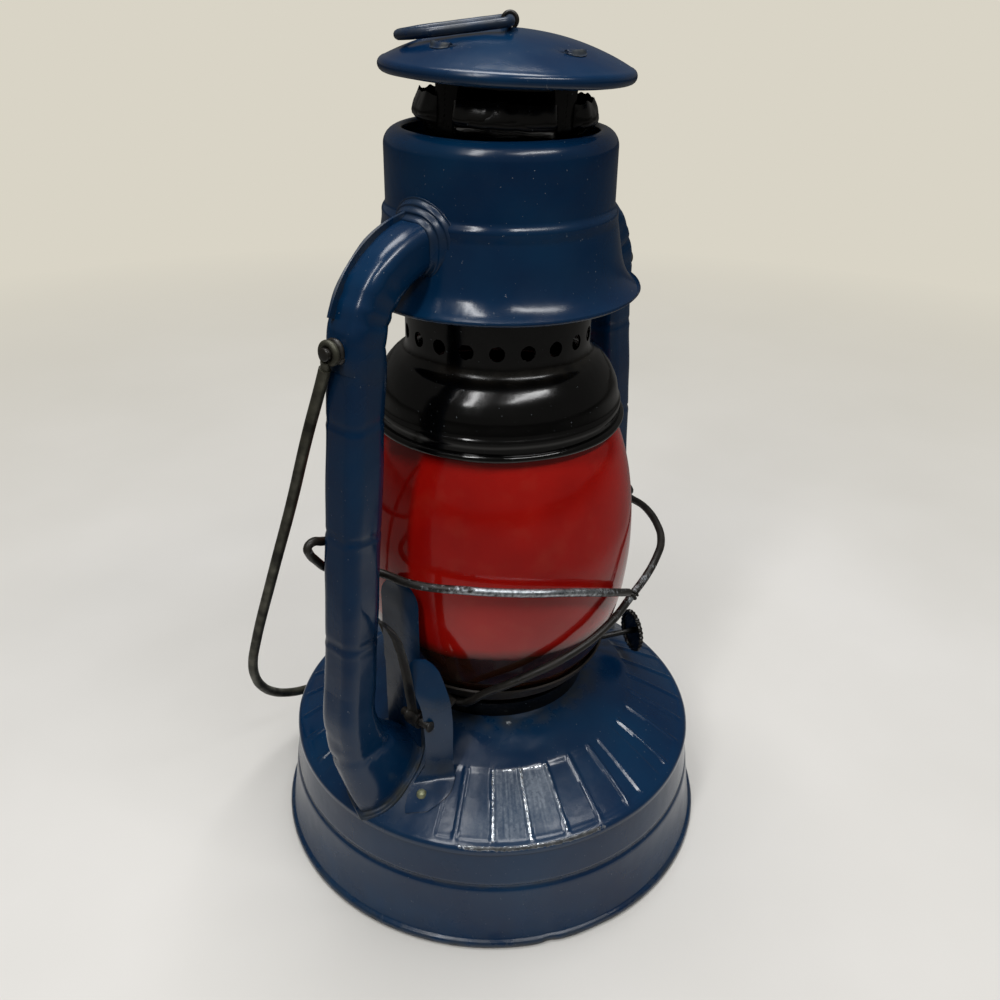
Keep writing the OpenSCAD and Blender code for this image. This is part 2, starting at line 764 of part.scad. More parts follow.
// Guard wire that climbs across the front, round the right tube and down the back
loop_points = [
  polar(wire_seat_r, 186, under_plate_z), polar(wire_seat_r + 0.3, 194, under_plate_z),
  polar(globe_r - 12.1, 199, under_plate_z - 0.1), polar(globe_r - 8.9, 205, under_plate_z + 2),
  polar(globe_r - 6.2, 210, 75.8),
  polar(globe_r - 3.9, 217, 81.7), polar(globe_r - 1.3, 232, 89.5), polar(globe_r + 1.5, 252, 97.6),
  polar(globe_r + 3.1, 270, 103.6), loop_cross, polar(globe_r + 7.3, 293, 112.4),
  polar(globe_r + 9.5, 301, 115), polar(globe_r + 12.1, 312, 115.4), polar(globe_r + 13.7, 323, 115.6),
  polar(globe_r + 14.7, 334, 116), [leg_x + 5, -15.4, 116.6], [leg_x + 12, -11.4, 117],
  [leg_x + 17.6, -9.4, 117], [leg_x + 20.6, -4.4, 117], [leg_x + 20.6, 4.4, 117],
  [leg_x + 17.6, 9.4, 117], [leg_x + 12, 11.4, 117], [leg_x + 3, 15.6, 116.4],
  polar(globe_r + 11, 30, 113.6), polar(globe_r + 7.5, 52, 107), polar(globe_r + 5.9, 80, 96.5),
  polar(globe_r + 2.5, 105, 86), polar(globe_r - 2.9, 123, 79.4),
  polar(globe_r - 6.4, 130, 75.6), polar(globe_r - 9, 136, under_plate_z + 2),
  polar(globe_r - 12.1, 142, under_plate_z - 0.1),
  polar(wire_seat_r + 0.3, 147, under_plate_z), polar(wire_seat_r, 155, under_plate_z)
];

module guard_loop_wire() {
  color("#1c1c1d") wire(bend(loop_points, 3), guard_wire_d);
}

// Guard wire that turns back on itself at the left tube and crosses the belly of the globe
belly_end = polar(globe_r + 3.9, 281.9, 110.6);
belly_points = [
  polar(wire_seat_r, 46, under_plate_z), polar(wire_seat_r + 0.3, 53, under_plate_z),
  polar(globe_r - 12.1, 57, under_plate_z - 0.1), polar(globe_r - 8.9, 60.5, under_plate_z + 2),
  polar(globe_r - 6.2, 62, 76),
  polar(globe_r - 2.3, 64, 84), polar(globe_r + 1.5, 70, 98), polar(globe_r + 2.9, 84, 113),
  polar(globe_r + 3.5, 104, 127), polar(globe_r + 4.5, 128, 136), polar(globe_r + 7.9, 150, 140),
  [3 - leg_x, 14, 140.6], [-leg_x - 4, 11, 140.6], [-leg_x - 9, 10.6, 142.2],
  [-leg_x - 12.4, 10.6, 143.4], [-leg_x - 14.4, 10.6, 142.4], [-leg_x - 14, 10.6, 140],
  [-leg_x - 11.8, 10.6, 136.6], [-leg_x - 7.8, 10.6, 132], [-leg_x - 3, 10.4, 129.8],
  [2.4 - leg_x, 8.6, 128.2], [-(globe_r + leg_x) / 2 + 0.1, 2, 127], polar(globe_r + 5.3, 192, 127.4),
  polar(globe_r + 3.7, 212, 128.2), polar(globe_r + 3.2, 230, 127.2), polar(globe_r + 3.1, 248, 124.2),
  polar(globe_r + 3.3, 266, 118), belly_end
];

module guard_belly_wire() {
  color("#1c1c1d") wire(bend(belly_points, 3), guard_wire_d);
}

// Turns Z to point along v
module along(p, v) {
  translate(p) rotate([0, acos(v[2] / norm(v)), atan2(v[1], v[0])]) children();
}

module guard_clip() {
  way = loop_points[10] - loop_points[8];
  color("#3a3a3a") along(loop_cross, way) difference() {
    translate([0, 0, -2]) cylinder(h = 4, r = guard_r + 1, $fn = 32);
    translate([0, 0, -2 - cut]) cylinder(h = 4 + 2 * cut, r = guard_r + 0.12, $fn = 32);
  }
}

// Bell, chimney, crown and cap

bell_neck_r = bell_neck_d / 2;
bell_rim_r = bell_rim_d / 2;
bell_roll_r = 1.3;
bell_top_z = 216;
bell_hole_z = 197.6;
bell_wide_r = bell_rim_r - 1.5;
bell_flare = bell_wide_r - bell_neck_r;

// Point of the bell's flare: share of its width, and height above the rim
function flare_point(share, h) = [bell_neck_r + bell_flare * share, bell_rim_z + h];

bell_line = concat(
  [[chimney_r + 0.08, bell_top_z]],
  arc([bell_neck_r - 2, bell_top_z - 2], 2, 90, 0, 4),
  [flare_point(0, 24.3)],
  bend([flare_point(0.064, 22.9), flare_point(0.31, 21.5), flare_point(0.58, 18.1),
    flare_point(0.81, 13.7), flare_point(0.927, 9.3)], 3),
  [flare_point(0.936, 7.1), flare_point(1, 6.5), flare_point(1, 5.3),
   [bell_wide_r - 0.2, bell_rim_z + 4.3], [bell_wide_r, bell_rim_z + bell_roll_r]]
);

// Ledge inside the bell that sits on the mouth of the globe
ledge_z = globe_top_z + gap;
ledge_w = 5;

module bell() {
  color("#121314") difference() {
    union() {
      turned(wall(bell_line, -sheet_t));
      translate([0, 0, ledge_z]) rotate_extrude()
        translate([bell_wide_r - 0.4 - ledge_w, 0]) square([ledge_w, sheet_t]);
      translate([0, 0, bell_rim_z + bell_roll_r])
        rotate_extrude() translate([bell_rim_r - bell_roll_r, 0]) circle(r = bell_roll_r, $fn = 32);
    }
    for (i = [0:bell_hole_count - 1]) rotate(front_az + i * 360 / bell_hole_count)
      translate([bell_neck_r - 4, 0, bell_hole_z]) rotate([0, 90, 0])
        cylinder(h = 8, d = bell_hole_d, $fn = 24);
  }
}

crown_low_z = canopy_top_z + 0.9;
chimney_top_z = crown_low_z - 0.4;
lean_z = canopy_top_z - 29;

// Crown, cap and ring share a small lean towards the right of the front view
module leaned() {
  translate([0, 0, lean_z]) rotate(front_az + 90) rotate([0, cap_lean, 0])
    rotate(-front_az - 90) translate([0, 0, -lean_z]) children();
}

module chimney_tube() {
  color("#121314") difference() {
    translate([0, 0, bell_top_z - 3]) cylinder(h = chimney_top_z - bell_top_z + 3, r = chimney_r);
    translate([0, 0, bell_top_z - 3 - cut])
      cylinder(h = chimney_top_z - bell_top_z + 3 + 2 * cut, r = chimney_r - sheet_t);
  }
}

// The cap is a shallow dome; its sphere gives the seat of the crown too
cap_roll_r = 2;
cap_edge_r = cap_r - 1.7;
cap_ball_r = (pow(cap_edge_r, 2) + pow(cap_rise, 2)) / (2 * cap_rise);
cap_top_z = cap_rim_z + cap_roll_r + cap_rise;
cap_ball_z = cap_top_z - cap_ball_r;

// Height of the cap's inner face at radius r
function cap_in_z(r) = cap_ball_z + sqrt(pow(cap_ball_r - sheet_t, 2) - r * r);

crown_window_z = [262.4, 269.4];
crown_window_deg = 64;

module crown_band(low, high) {
  translate([0, 0, low]) difference() {
    cylinder(h = high - low, r = crown_r);
    translate([0, 0, -cut]) cylinder(h = high - low + 2 * cut, r = crown_r - sheet_t);
  }
}

// A strap is a little thinner than the bands it joins, so that its ends lie inside them
module crown_strap(low, high) {
  deg = 90 - crown_window_deg;
  rotate(-deg / 2) rotate_extrude(angle = deg) translate([crown_r - sheet_t + 0.05, low - 1])
    square([sheet_t - 0.1, high - low + 2]);
}

module crown() {
  z = crown_window_z[0];
  lip_line = [
    [crown_r - 0.2, z - 3.2], [crown_r + crown_lip * 0.7, z - 2.5], [crown_r + crown_lip, z - 1],
    [crown_r + crown_lip * 0.9, z + 1], [crown_r + crown_lip * 0.5, z + 4.4]
  ];
  top_z = cap_in_z(crown_r) - 0.05;
  color("#121314") leaned() {
    crown_band(crown_low_z, z);
    crown_band(crown_window_z[1], top_z);
    for (i = [0:3]) rotate(front_az + 45 + i * 90) crown_strap(z, crown_window_z[1]);
    for (i = [0:3]) rotate(front_az + i * 90 - crown_window_deg / 2)
      rotate_extrude(angle = crown_window_deg) polygon(wall(lip_line, sheet_t));
  }
}

module cap() {
  color("#1d3557") leaned() difference() {
    union() {
      difference() {
        translate([0, 0, cap_ball_z]) sphere(r = cap_ball_r, $fn = 128);
        translate([0, 0, cap_ball_z]) sphere(r = cap_ball_r - sheet_t, $fn = 128);
        translate([0, 0, cap_ball_z - cap_ball_r - cut])
          cylinder(h = cap_rim_z + cap_roll_r - 0.1 - cap_ball_z + cap_ball_r + cut, r = cap_ball_r + cut);
      }
      translate([0, 0, cap_rim_z])
        rotate_extrude() translate([cap_r - cap_roll_r, 0]) circle(r = cap_roll_r, $fn = 32);
    }
    for (i = [0:3]) rotate(front_az + 45 + i * 90)
      translate([tab_r, -tab_w / 2 - 0.5, cap_rim_z + cap_roll_r])
        cube([tab_t + 0.4, tab_w + 1, 20]);
  }
}

tab_r = crown_r + 0.4;
tab_w = 7.6;
tab_len = 3.2;
tab_t = 0.8;

// Ends of the crown straps, passed through slots in the cap and folded over
module cap_tabs() {
  tilt = asin(tab_r / cap_ball_r);
  z = cap_ball_z + sqrt(cap_ball_r * cap_ball_r - tab_r * tab_r);
  color("#1d3557") leaned() for (i = [0:3]) rotate(front_az + 45 + i * 90)
    translate([tab_r, 0, z]) rotate([0, tilt, 0])
      translate([0, -tab_w / 2, 0.06]) cube([tab_len + tab_t, tab_w, tab_t]);
}

eye_hole_r = ring_wire_d / 2 + gap;
eye_wire_r = 0.6;
eye_z = cap_top_z + ring_wire_d / 2 + gap + 0.05;

module ring_eye() {
  color("#151a22") leaned() difference() {
    translate([0, 0, eye_z]) rotate(ring_az) rotate([90, 0, 0])
      rotate_extrude() translate([eye_hole_r + eye_wire_r, 0]) circle(r = eye_wire_r, $fn = 24);
    translate([0, 0, cap_ball_z]) sphere(r = cap_ball_r + 0.03, $fn = 128);
  }
}

// The ring lies back on the cap; its straight end passes through the eye
ring_drop = 9.5;
ring_corner = 4;

module lift_ring() {
  r = ring_wire_d / 2;
  color("#1d3557") leaned() translate([0, 0, eye_z]) rotate(ring_az) rotate([0, ring_drop, 0]) {
    translate([0, ring_w / 2 - ring_corner, 0]) rotate([90, 0, 0])
      cylinder(h = ring_w - 2 * ring_corner, r = r, $fn = 24);
    for (side = [-1, 1]) {
      translate([ring_corner, side * (ring_w / 2 - ring_corner), 0]) rotate(side > 0 ? 90 : 180)
        rotate_extrude(angle = 90) translate([ring_corner, 0]) circle(r = r, $fn = 24);
      translate([ring_corner, side * ring_w / 2, 0]) rotate([0, 90, 0])
        cylinder(h = ring_len - ring_corner - ring_w / 2, r = r, $fn = 24);
    }
    translate([ring_len - ring_w / 2, 0, 0]) rotate(-90)
      rotate_extrude(angle = 180) translate([ring_w / 2, 0]) circle(r = r, $fn = 24);
  }
}

// Bail: straight arms and a half circle, with an eye round each ear pin.
// It hangs back until its middle is just clear of the fount.
bail_rest = asin((skirt_r(20) + bail_wire_d / 2 + bail_clear) / (bail_arm + bail_half_w));

module bail() {
  r = bail_wire_d / 2;
  color("#22241f") translate([0, 0, ear_z]) rotate([bail_rest, 0, 0]) difference() {
    union() {
      for (side = [-1, 1]) {
        translate([side * bail_half_w, 0, -bail_arm])
          cylinder(h = bail_arm - bail_pin_r - 0.4, r = r, $fn = 32);
        translate([side * bail_half_w - bail_eye_w / 2, 0, 0]) rotate([0, 90, 0])
          cylinder(h = bail_eye_w, r = bail_eye_r, $fn = 48);
      }
      translate([0, 0, -bail_arm]) rotate([90, 0, 0]) rotate(180)
        rotate_extrude(angle = 180) translate([bail_half_w, 0]) circle(r = r, $fn = 32);
    }
    translate([-200, 0, 0]) rotate([0, 90, 0]) cylinder(h = 400, r = bail_pin_r + run_gap, $fn = 48);
  }
}

// Burner

shaft_z = fount_top_z + 3.2;
wheel_r = 3.2;
wheel_t = 1.2;
wheel_x = 5;
wick_top_z = fount_top_z + 21.5;
sleeve_t = 0.7;
sleeve_w = wick_w + 2 * gap + 2 * sleeve_t;
sleeve_d = wick_t + 2 * gap + 2 * sleeve_t;
shaft_y = -(wick_t / 2 + gap + wheel_r);
burner_r = gallery_d / 2 - 13;
burner_h = 8;

module burner_gallery() {
  r = gallery_d / 2;
  color("#17181a") difference() {
    translate([0, 0, fount_top_z + 0.04]) cylinder(h = gallery_h - 0.04, r = r);
    translate([0, 0, fount_top_z - cut]) cylinder(h = gallery_h + cut - sheet_t, r = r - sheet_t);
    translate([0, 0, fount_top_z - cut]) cylinder(h = gallery_h + 2 * cut, r = plate_hole_r);
    rotate(knob_az) translate([0, shaft_y, shaft_z]) rotate([0, 90, 0])
      cylinder(h = 60, r = shaft_d / 2 + 0.7, $fn = 32);
  }
}

module burner_body() {
  color("#a8873f") difference() {
    union() {
      translate([0, 0, shoulder_z + 6]) cylinder(h = fount_top_z - shoulder_z - 4, r = burner_r);
      translate([0, 0, fount_top_z + 0.04]) cylinder(h = burner_h, r = burner_r + 1.2);
      rotate(knob_az) translate([burner_r - 2, shaft_y, shaft_z]) rotate([0, 90, 0])
        cylinder(h = plate_hole_r - burner_r + 1, r = shaft_d / 2 + 1.2, $fn = 32);
    }
    translate([0, 0, shoulder_z])
      cylinder(h = fount_top_z - shoulder_z + burner_h - 1.2, r = burner_r - 1.2);
    rotate(knob_az) {
      translate([-8, shaft_y, shaft_z]) rotate([0, 90, 0])
        cylinder(h = 60, r = shaft_d / 2 + run_gap, $fn = 48);
      translate([-sleeve_w / 2 - 0.05, -sleeve_d / 2 - 0.05, 0])
        cube([sleeve_w + 0.1, sleeve_d + 0.1, wick_top_z]);
    }
  }
}

module wick_tube() {
  color("#a8873f") rotate(knob_az) difference() {
    translate([-sleeve_w / 2, -sleeve_d / 2, shoulder_z + 4])
      cube([sleeve_w, sleeve_d, wick_top_z - shoulder_z - 6]);
    translate([-wick_w / 2 - gap, -wick_t / 2 - gap, 0])
      cube([wick_w + 2 * gap, wick_t + 2 * gap, wick_top_z]);
    for (x = [-1, 1]) translate([x * wheel_x - wheel_t / 2 - 1, -sleeve_d, shaft_z - wheel_r - 1])
      cube([wheel_t + 2, sleeve_d, 2 * wheel_r + 2]);
  }
}

module burner_cone() {
  z = fount_top_z + burner_h + 0.4;
  line = concat([[burner_r + 1, z]], bend([
    [burner_r + 0.4, z + 1.8], [burner_r - 1.4, z + 8.8], [burner_r - 6, z + 14.8], [3, z + 18.2]], 3),
    [[0, z + 18.4]]);
  back = [for (i = [len(line) - 2:-1:0]) side_point(line, i, sheet_t)];
  color("#a8873f") difference() {
    turned(concat(line, [[0, line[len(line) - 1][1] - sheet_t]], back));
    rotate(knob_az) translate([-wick_w / 2 - 2.5, -wick_t / 2 - 2.2, wick_top_z - 4])
      cube([wick_w + 5, wick_t + 4.4, 20]);
  }
}

module wick() {
  color("#e6dcc3") rotate(knob_az) translate([-wick_w / 2, -wick_t / 2, 20])
    cube([wick_w, wick_t, wick_top_z + 0.4 - 20]);
}

module wick_wheels() {
  color("#8d8f92") rotate(knob_az) for (x = [-1, 1])
    translate([x * wheel_x - wheel_t / 2, shaft_y, shaft_z]) rotate([0, 90, 0]) difference() {
      cylinder(h = wheel_t, r = wheel_r, $fn = 48);
      translate([0, 0, -cut]) cylinder(h = wheel_t + 2 * cut, d = shaft_d + 0.04, $fn = 48);
    }
}

knob_t = 2;

module wick_shaft() {
  color("#2a2a2a") rotate(knob_az) translate([-wheel_x - 2, shaft_y, shaft_z]) rotate([0, 90, 0])
    cylinder(h = knob_reach + wheel_x + 2 - knob_t / 2 - 0.04, d = shaft_d, $fn = 48);
}

module wick_knob() {
  r = knob_d / 2;
  color("#17181a") rotate(knob_az) translate([knob_reach - knob_t / 2, shaft_y, shaft_z]) rotate([0, 90, 0])
    difference() {
      union() {
        cylinder(h = knob_t, r = r, $fn = 64);
        for (i = [0:23]) rotate(i * 15) translate([r - 0.1, 0, 0]) cylinder(h = knob_t, r = 0.55, $fn = 16);
      }
      translate([0, 0, knob_t - 0.7]) cylinder(h = cut, r = r - 1.3, $fn = 64);
    }
}

// Filler

filler_gap = 0.4;
gasket_t = 1.4;
gasket_z = filler_z + gap;
filler_bore_r = filler_d / 2 + filler_gap;
filler_cap_r = filler_bore_r + 1.2;
knurl_r = 0.4;
filler_cap_low_z = dome_z(filler_reach - filler_cap_r - knurl_r) + 0.7;
filler_cap_top_z = gasket_z + gasket_t + gap + 1;

module filler_gasket() {
  color("#6b4a2f") rotate(filler_az) translate([filler_reach, 0, gasket_z])
    cylinder(h = gasket_t, r = filler_bore_r - gap, $fn = 64);
}

module filler_cap() {
  color("#1d3557") rotate(filler_az) translate([filler_reach, 0, filler_cap_low_z]) difference() {
    union() {
      cylinder(h = filler_cap_top_z - filler_cap_low_z, r = filler_cap_r);
      for (i = [0:35]) rotate(i * 10) translate([filler_cap_r - 0.1, 0, 0.4])
        cylinder(h = filler_cap_top_z - filler_cap_low_z - 1.2, r = knurl_r, $fn = 16);
    }
    translate([0, 0, -cut])
      cylinder(h = gasket_z + gasket_t + gap - filler_cap_low_z + cut, r = filler_bore_r);
  }
}

fount_skirt();
fount_bottom();
fount_dome();
burner_gallery();
filler_neck();
left_tube();
right_tube();
left_tube_foot();
right_tube_foot();
left_tube_collar();
right_tube_collar();
canopy();
left_ear();
right_ear();
guide_plate();
lever_bracket();
bracket_rivet();
lever_pin();
burner_body();
burner_cone();
wick_tube();
globe_plate();
globe();
guard_belly_wire();
guard_loop_wire();
guard_clip();
bell();
chimney_tube();
crown();
cap();
cap_tabs();
ring_eye();
lift_ring();
bail();
lift_lever();
wick_knob();
wick_shaft();
wick_wheels();
wick();
filler_gasket();
filler_cap();
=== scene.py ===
import math

import bmesh
import bpy
from mathutils import Matrix, Vector, noise


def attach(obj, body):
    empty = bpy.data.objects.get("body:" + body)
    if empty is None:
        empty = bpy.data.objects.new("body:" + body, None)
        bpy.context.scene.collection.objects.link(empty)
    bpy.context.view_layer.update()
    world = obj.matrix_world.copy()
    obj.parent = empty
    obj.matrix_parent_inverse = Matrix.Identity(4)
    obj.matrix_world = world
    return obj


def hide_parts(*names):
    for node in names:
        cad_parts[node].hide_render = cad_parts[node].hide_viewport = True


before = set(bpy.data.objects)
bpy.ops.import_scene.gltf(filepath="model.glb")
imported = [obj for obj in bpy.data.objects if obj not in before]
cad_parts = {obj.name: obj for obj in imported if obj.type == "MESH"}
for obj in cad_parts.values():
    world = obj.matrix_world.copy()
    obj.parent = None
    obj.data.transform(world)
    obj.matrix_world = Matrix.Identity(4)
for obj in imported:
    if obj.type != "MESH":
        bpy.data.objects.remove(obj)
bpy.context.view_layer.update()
scene = bpy.context.scene
print("frame loaded")

# All settings below are millimetres and degrees unless a note says otherwise

# Camera, floor and lamps

cameraSettings = {
    "place": (-230.4, -196.8, 297.8),
    "right": (0.65189, -0.75817, 0.01501),
    "up": (0.35489, 0.32251, 0.87752),
    "sensor": 36, "focal": 34.992,
}


def placed(name, data):
    thing = bpy.data.objects.new(name, data)
    scene.collection.objects.link(thing)
    return thing


def makeCamera(s):
    right, up = Vector(s["right"]).normalized(), Vector(s["up"])
    back = right.cross(up).normalized()
    up = back.cross(right)
    data = bpy.data.cameras.new("camera")
    data.sensor_width, data.lens = s["sensor"], s["focal"]
    data.clip_start, data.clip_end = 0.01, 40
    camera = placed("camera", data)
    turn = Matrix((right, up, back)).transposed()
    camera.matrix_world = Matrix.Translation(Vector(s["place"]) / 1000) @ turn.to_4x4()
    scene.camera = camera


makeCamera(cameraSettings)


def linear(code):
    parts = [int(code[i:i + 2], 16) / 255 for i in (1, 3, 5)]
    return [c / 12.92 if c <= 0.04045 else ((c + 0.055) / 1.055) ** 2.4 for c in parts] + [1]


def addNode(tree, kind, sockets=None, **settings):
    node = tree.nodes.new("ShaderNode" + kind)
    for name, value in settings.items():
        setattr(node, name, value)
    for name, value in (sockets or {}).items():
        if isinstance(value, bpy.types.Node):
            value = next(out for out in value.outputs if out.enabled)
        if isinstance(value, bpy.types.NodeSocket):
            tree.links.new(value, node.inputs[name])
        else:
            node.inputs[name].default_value = value
    return node


def newMaterial(name):
    material = bpy.data.materials.new(name)
    material.use_nodes = True
    tree = material.node_tree
    tree.nodes.clear()
    return material, tree


def pattern(tree, size, low=0, high=1, toLow=0, toHigh=1, detail=3, stretch=(1, 1, 1), shift=0, rough=0.5):
    # Noise with features size mm across, its levels from low to high spread over toLow to toHigh
    coords = addNode(tree, "TexCoord").outputs["Object"]
    place = (shift, shift * 0.7, shift * 0.3)
    mapped = addNode(tree, "Mapping", {"Vector": coords, "Scale": stretch, "Location": place})
    cloud = addNode(tree, "TexNoise", {
        "Vector": mapped, "Scale": 1000 / size, "Detail": detail, "Roughness": rough})
    return addNode(tree, "MapRange", {"Value": cloud, 1: low, 2: high, 3: toLow, 4: toHigh})


def coat(tree, under, mask, over, most=1):
    # Lays a colour over another where the mask says, at most this much of it
    share = addNode(tree, "Math", {0: mask, 1: most}, operation="MULTIPLY")
    return addNode(tree, "Mix", {0: share, 6: under, 7: linear(over)}, data_type="RGBA")


def bumped(tree, *reliefs):
    # Bumps laid on each other, each one a height pattern and its depth in mm
    under = {}
    for height, depth in reliefs:
        under = {"Normal": addNode(tree, "Bump", {"Height": height, "Distance": depth / 1000, **under})}
    return under["Normal"]


def surface(tree, sockets):
    shader = addNode(tree, "BsdfPrincipled", sockets)
    addNode(tree, "OutputMaterial", {"Surface": shader})


# Gloss enamel brushed over tinplate: sags and brush lines wobble the reflections, high spots rub through to
# tin; the same bright tin is laid as painted highlight on the dome's shoulder and panel ends, and near black as
# painted shade in the cap's slots
def makeEnamel(name, s):
    material, tree = newMaterial(name)
    marks = {mark: addNode(tree, "Attribute", attribute_name=mark).outputs["Fac"] for mark in (
        "wear", "grime", "haze", "slot_shade")}
    color = coat(tree, linear(s["dark"]), pattern(tree, 34, 0.3, 0.7, detail=4), s["light"])
    dust = pattern(tree, 14, 0.5, 0.75, 0, s["dust"], detail=5, shift=3)
    dirt = pattern(tree, 5, 0.3, 0.62, detail=6, shift=5)
    grime = addNode(tree, "Math", {0: marks["grime"], 1: dirt}, operation="MULTIPLY")
    speck = pattern(tree, 0.9, 0.76, 0.8, detail=1, shift=8)
    fine = pattern(tree, 1.2, 0.25, 0.75, detail=6, stretch=(1, 1, 0.6), rough=0.7)
    thin = addNode(tree, "MapRange", {"Value": fine, 1: 0.1, 2: 0.9, 3: 0.35})
    haze = addNode(tree, "Math", {0: marks["haze"], 1: thin}, operation="MULTIPLY")
    color = coat(tree, color, dust, s["dustColor"])
    color = coat(tree, color, grime, s["grimeColor"])
    color = coat(tree, color, speck, "#8d97a0", 0.35)
    color = coat(tree, color, haze, "#8c97a3")
    # Bare tin where rubbed, and on the dome also where bright tin stands in as painted highlight
    rubAndHighlight = addNode(tree, "Math", {0: fine, 1: 0.8, 2: marks["wear"]}, operation="MULTIPLY_ADD")
    bare = addNode(tree, "MapRange", {"Value": rubAndHighlight, 1: 1.0, 2: 1.22})
    tin = coat(tree, linear("#7c8289"), pattern(tree, 1.1, 0.3, 0.7, detail=4, shift=2), "#d3d8dc")
    color = addNode(tree, "Mix", {0: bare, 6: color, 7: tin}, data_type="RGBA")
    # Painted shade: near black laid over the slots in the cap, where the dark inside shows
    color = coat(tree, color, marks["slot_shade"], "#060606")
    gloss = pattern(tree, 22, 0.3, 0.75, *s["gloss"], detail=4, shift=9)
    for mask, share in ((grime, 0.4), (dust, 0.25), (haze, 0.2)):
        gloss = addNode(tree, "Math", {0: mask, 1: share, 2: gloss}, operation="MULTIPLY_ADD")
    sags = pattern(tree, 11, detail=2, shift=1)
    strokes = pattern(tree, 1.4, detail=2, stretch=(1, 1, 0.12))
    surface(tree, {
        "Base Color": color, "Roughness": gloss, "Metallic": bare, "IOR": 1.5,
        "Normal": bumped(tree, (sags, s["sag"]), (strokes, s["brush"]), (speck, 0.05), (bare, -0.05))})
    return material


blueEnamel = makeEnamel("blue_gloss_enamel_brushed", {
    "dark": "#021f3f", "light": "#032f50", "dust": 0.14, "dustColor": "#18334c", "grimeColor": "#2b2e2c",
    "gloss": (0.13, 0.3), "sag": 0.22, "brush": 0.014})
blackEnamel = makeEnamel("black_gloss_enamel_brushed", {
    "dark": "#010101", "light": "#030303", "dust": 0.06, "dustColor": "#1c1b16", "grimeColor": "#39342c",
    "gloss": (0.09, 0.24), "sag": 0.2, "brush": 0.012})
# The same black on drawn wire, scuffed through to steel where hands and the globe rub it
wireEnamel = makeEnamel("black_enamel_on_wire_scuffed", {
    "dark": "#060606", "light": "#0e0d0c", "dust": 0.25, "dustColor": "#36332c", "grimeColor": "#353029",
    "gloss": (0.25, 0.45), "sag": 0.05, "brush": 0.01})
# Rolled sheet under soot from the flame, so it hardly shines
sootyPlate = makeEnamel("black_sheet_sooted", {
    "dark": "#0b0908", "light": "#181312", "dust": 0.5, "dustColor": "#2c2420", "grimeColor": "#3c342b",
    "gloss": (0.3, 0.55), "sag": 0.08, "brush": 0.01})


# Pressed ruby glass under a thick red coat: deep gloss, slight orange peel, and painted shade near the foot,
# where the glass is laid dark brown as the plate and fount below darken it
def makeRuby(s):
    material, tree = newMaterial("ruby_coated_glass_moulded")
    coords = addNode(tree, "TexCoord").outputs["Object"]
    height = addNode(tree, "SeparateXYZ", {0: coords}).outputs["Z"]
    wander = pattern(tree, 16, toHigh=0.006, detail=4)
    lifted = addNode(tree, "Math", {0: height, 1: wander}, operation="ADD")
    # Painted shade: the glass turns dark brown towards its foot, where the plate and fount below darken it
    foot = addNode(tree, "MapRange", {"Value": lifted, 1: s["footZ"][0], 2: s["footZ"][1], 3: 0.97, 4: 0})
    color = coat(tree, linear(s["dark"]), pattern(tree, 30, 0.3, 0.7, detail=5), s["light"])
    color = coat(tree, color, foot, s["foot"])
    color = coat(tree, color, pattern(tree, 9, 0.52, 0.8, detail=6, shift=4), s["dust"], 0.1)
    color = coat(tree, color, pattern(tree, 2.6, 0.79, 0.8, shift=12), s["chips"])
    peel, fine = pattern(tree, 7, detail=2, shift=2), pattern(tree, 1.2, detail=2)
    surface(tree, {
        "Base Color": color, "Roughness": pattern(tree, 26, 0.3, 0.8, *s["gloss"], detail=4, shift=7),
        "IOR": 1.5, "Normal": bumped(tree, (peel, 0.06), (fine, 0.004)),
        "Subsurface Weight": 0.15, "Subsurface Radius": (0.004, 0.0006, 0.0005)})
    return material


# footZ, where the painted shade at the globe's foot fades out, is in metres, like the coordinates it is
# compared with
rubyGlass = makeRuby({
    "dark": "#9a0d08", "light": "#b6160d", "foot": "#21170d", "footZ": (0.0992, 0.1045), "dust": "#b5674f",
    "chips": "#c98a6d", "gloss": (0.06, 0.18)})


# Plain metals and soft parts: two tones and a fine grain of a real size
def makePlain(name, s):
    material, tree = newMaterial(name)
    patch = pattern(tree, s["patch"], 0.35, 0.7, detail=5)
    color = coat(tree, linear(s["dark"]), patch, s["light"])
    if "rust" in s:
        color = coat(tree, color, pattern(tree, 3, 0.62, 0.78, detail=6, shift=5), s["rust"], 0.7)
    skin = pattern(tree, s["grain"], detail=s.get("detail", 3), stretch=s.get("stretch", (1, 1, 1)))
    gloss = addNode(tree, "MapRange", {"Value": patch, 3: s["rough"][0], 4: s["rough"][1]})
    surface(tree, {
        "Base Color": color, "Metallic": s["metal"], "Roughness": gloss,
        "Normal": bumped(tree, (skin, s["depth"]))})
    return material


# Drawn wire gone dull grey-brown in store, with soft shine and specks of rust
dullWire = makePlain("steel_wire_dull_oxide", {
    "dark": "#2c2b24", "light": "#5a594c", "rust": "#4d3826", "patch": 6, "grain": 0.8, "detail": 5,
    "depth": 0.04, "metal": 0.55, "rough": (0.62, 0.42)})
# Stamped brass browned by heat, brighter where it is smooth
agedBrass = makePlain("brass_aged_stamped", {
    "dark": "#5f4a22", "light": "#a3843f", "patch": 5, "grain": 0.7, "depth": 0.02, "metal": 1.0,
    "rough": (0.55, 0.35)})
# Turned steel with a grey satin shine
bareSteel = makePlain("steel_turned_dull", {
    "dark": "#55575a", "light": "#8f9297", "patch": 3, "grain": 0.5, "depth": 0.015, "metal": 1.0,
    "rough": (0.5, 0.32)})
# Tinned head gone pale green-grey
bareRivet = makePlain("tinned_rivet_oxidised", {
    "dark": "#7c8062", "light": "#b4b898", "patch": 1.5, "grain": 0.5, "depth": 0.03, "metal": 0.6,
    "rough": (0.6, 0.45)})
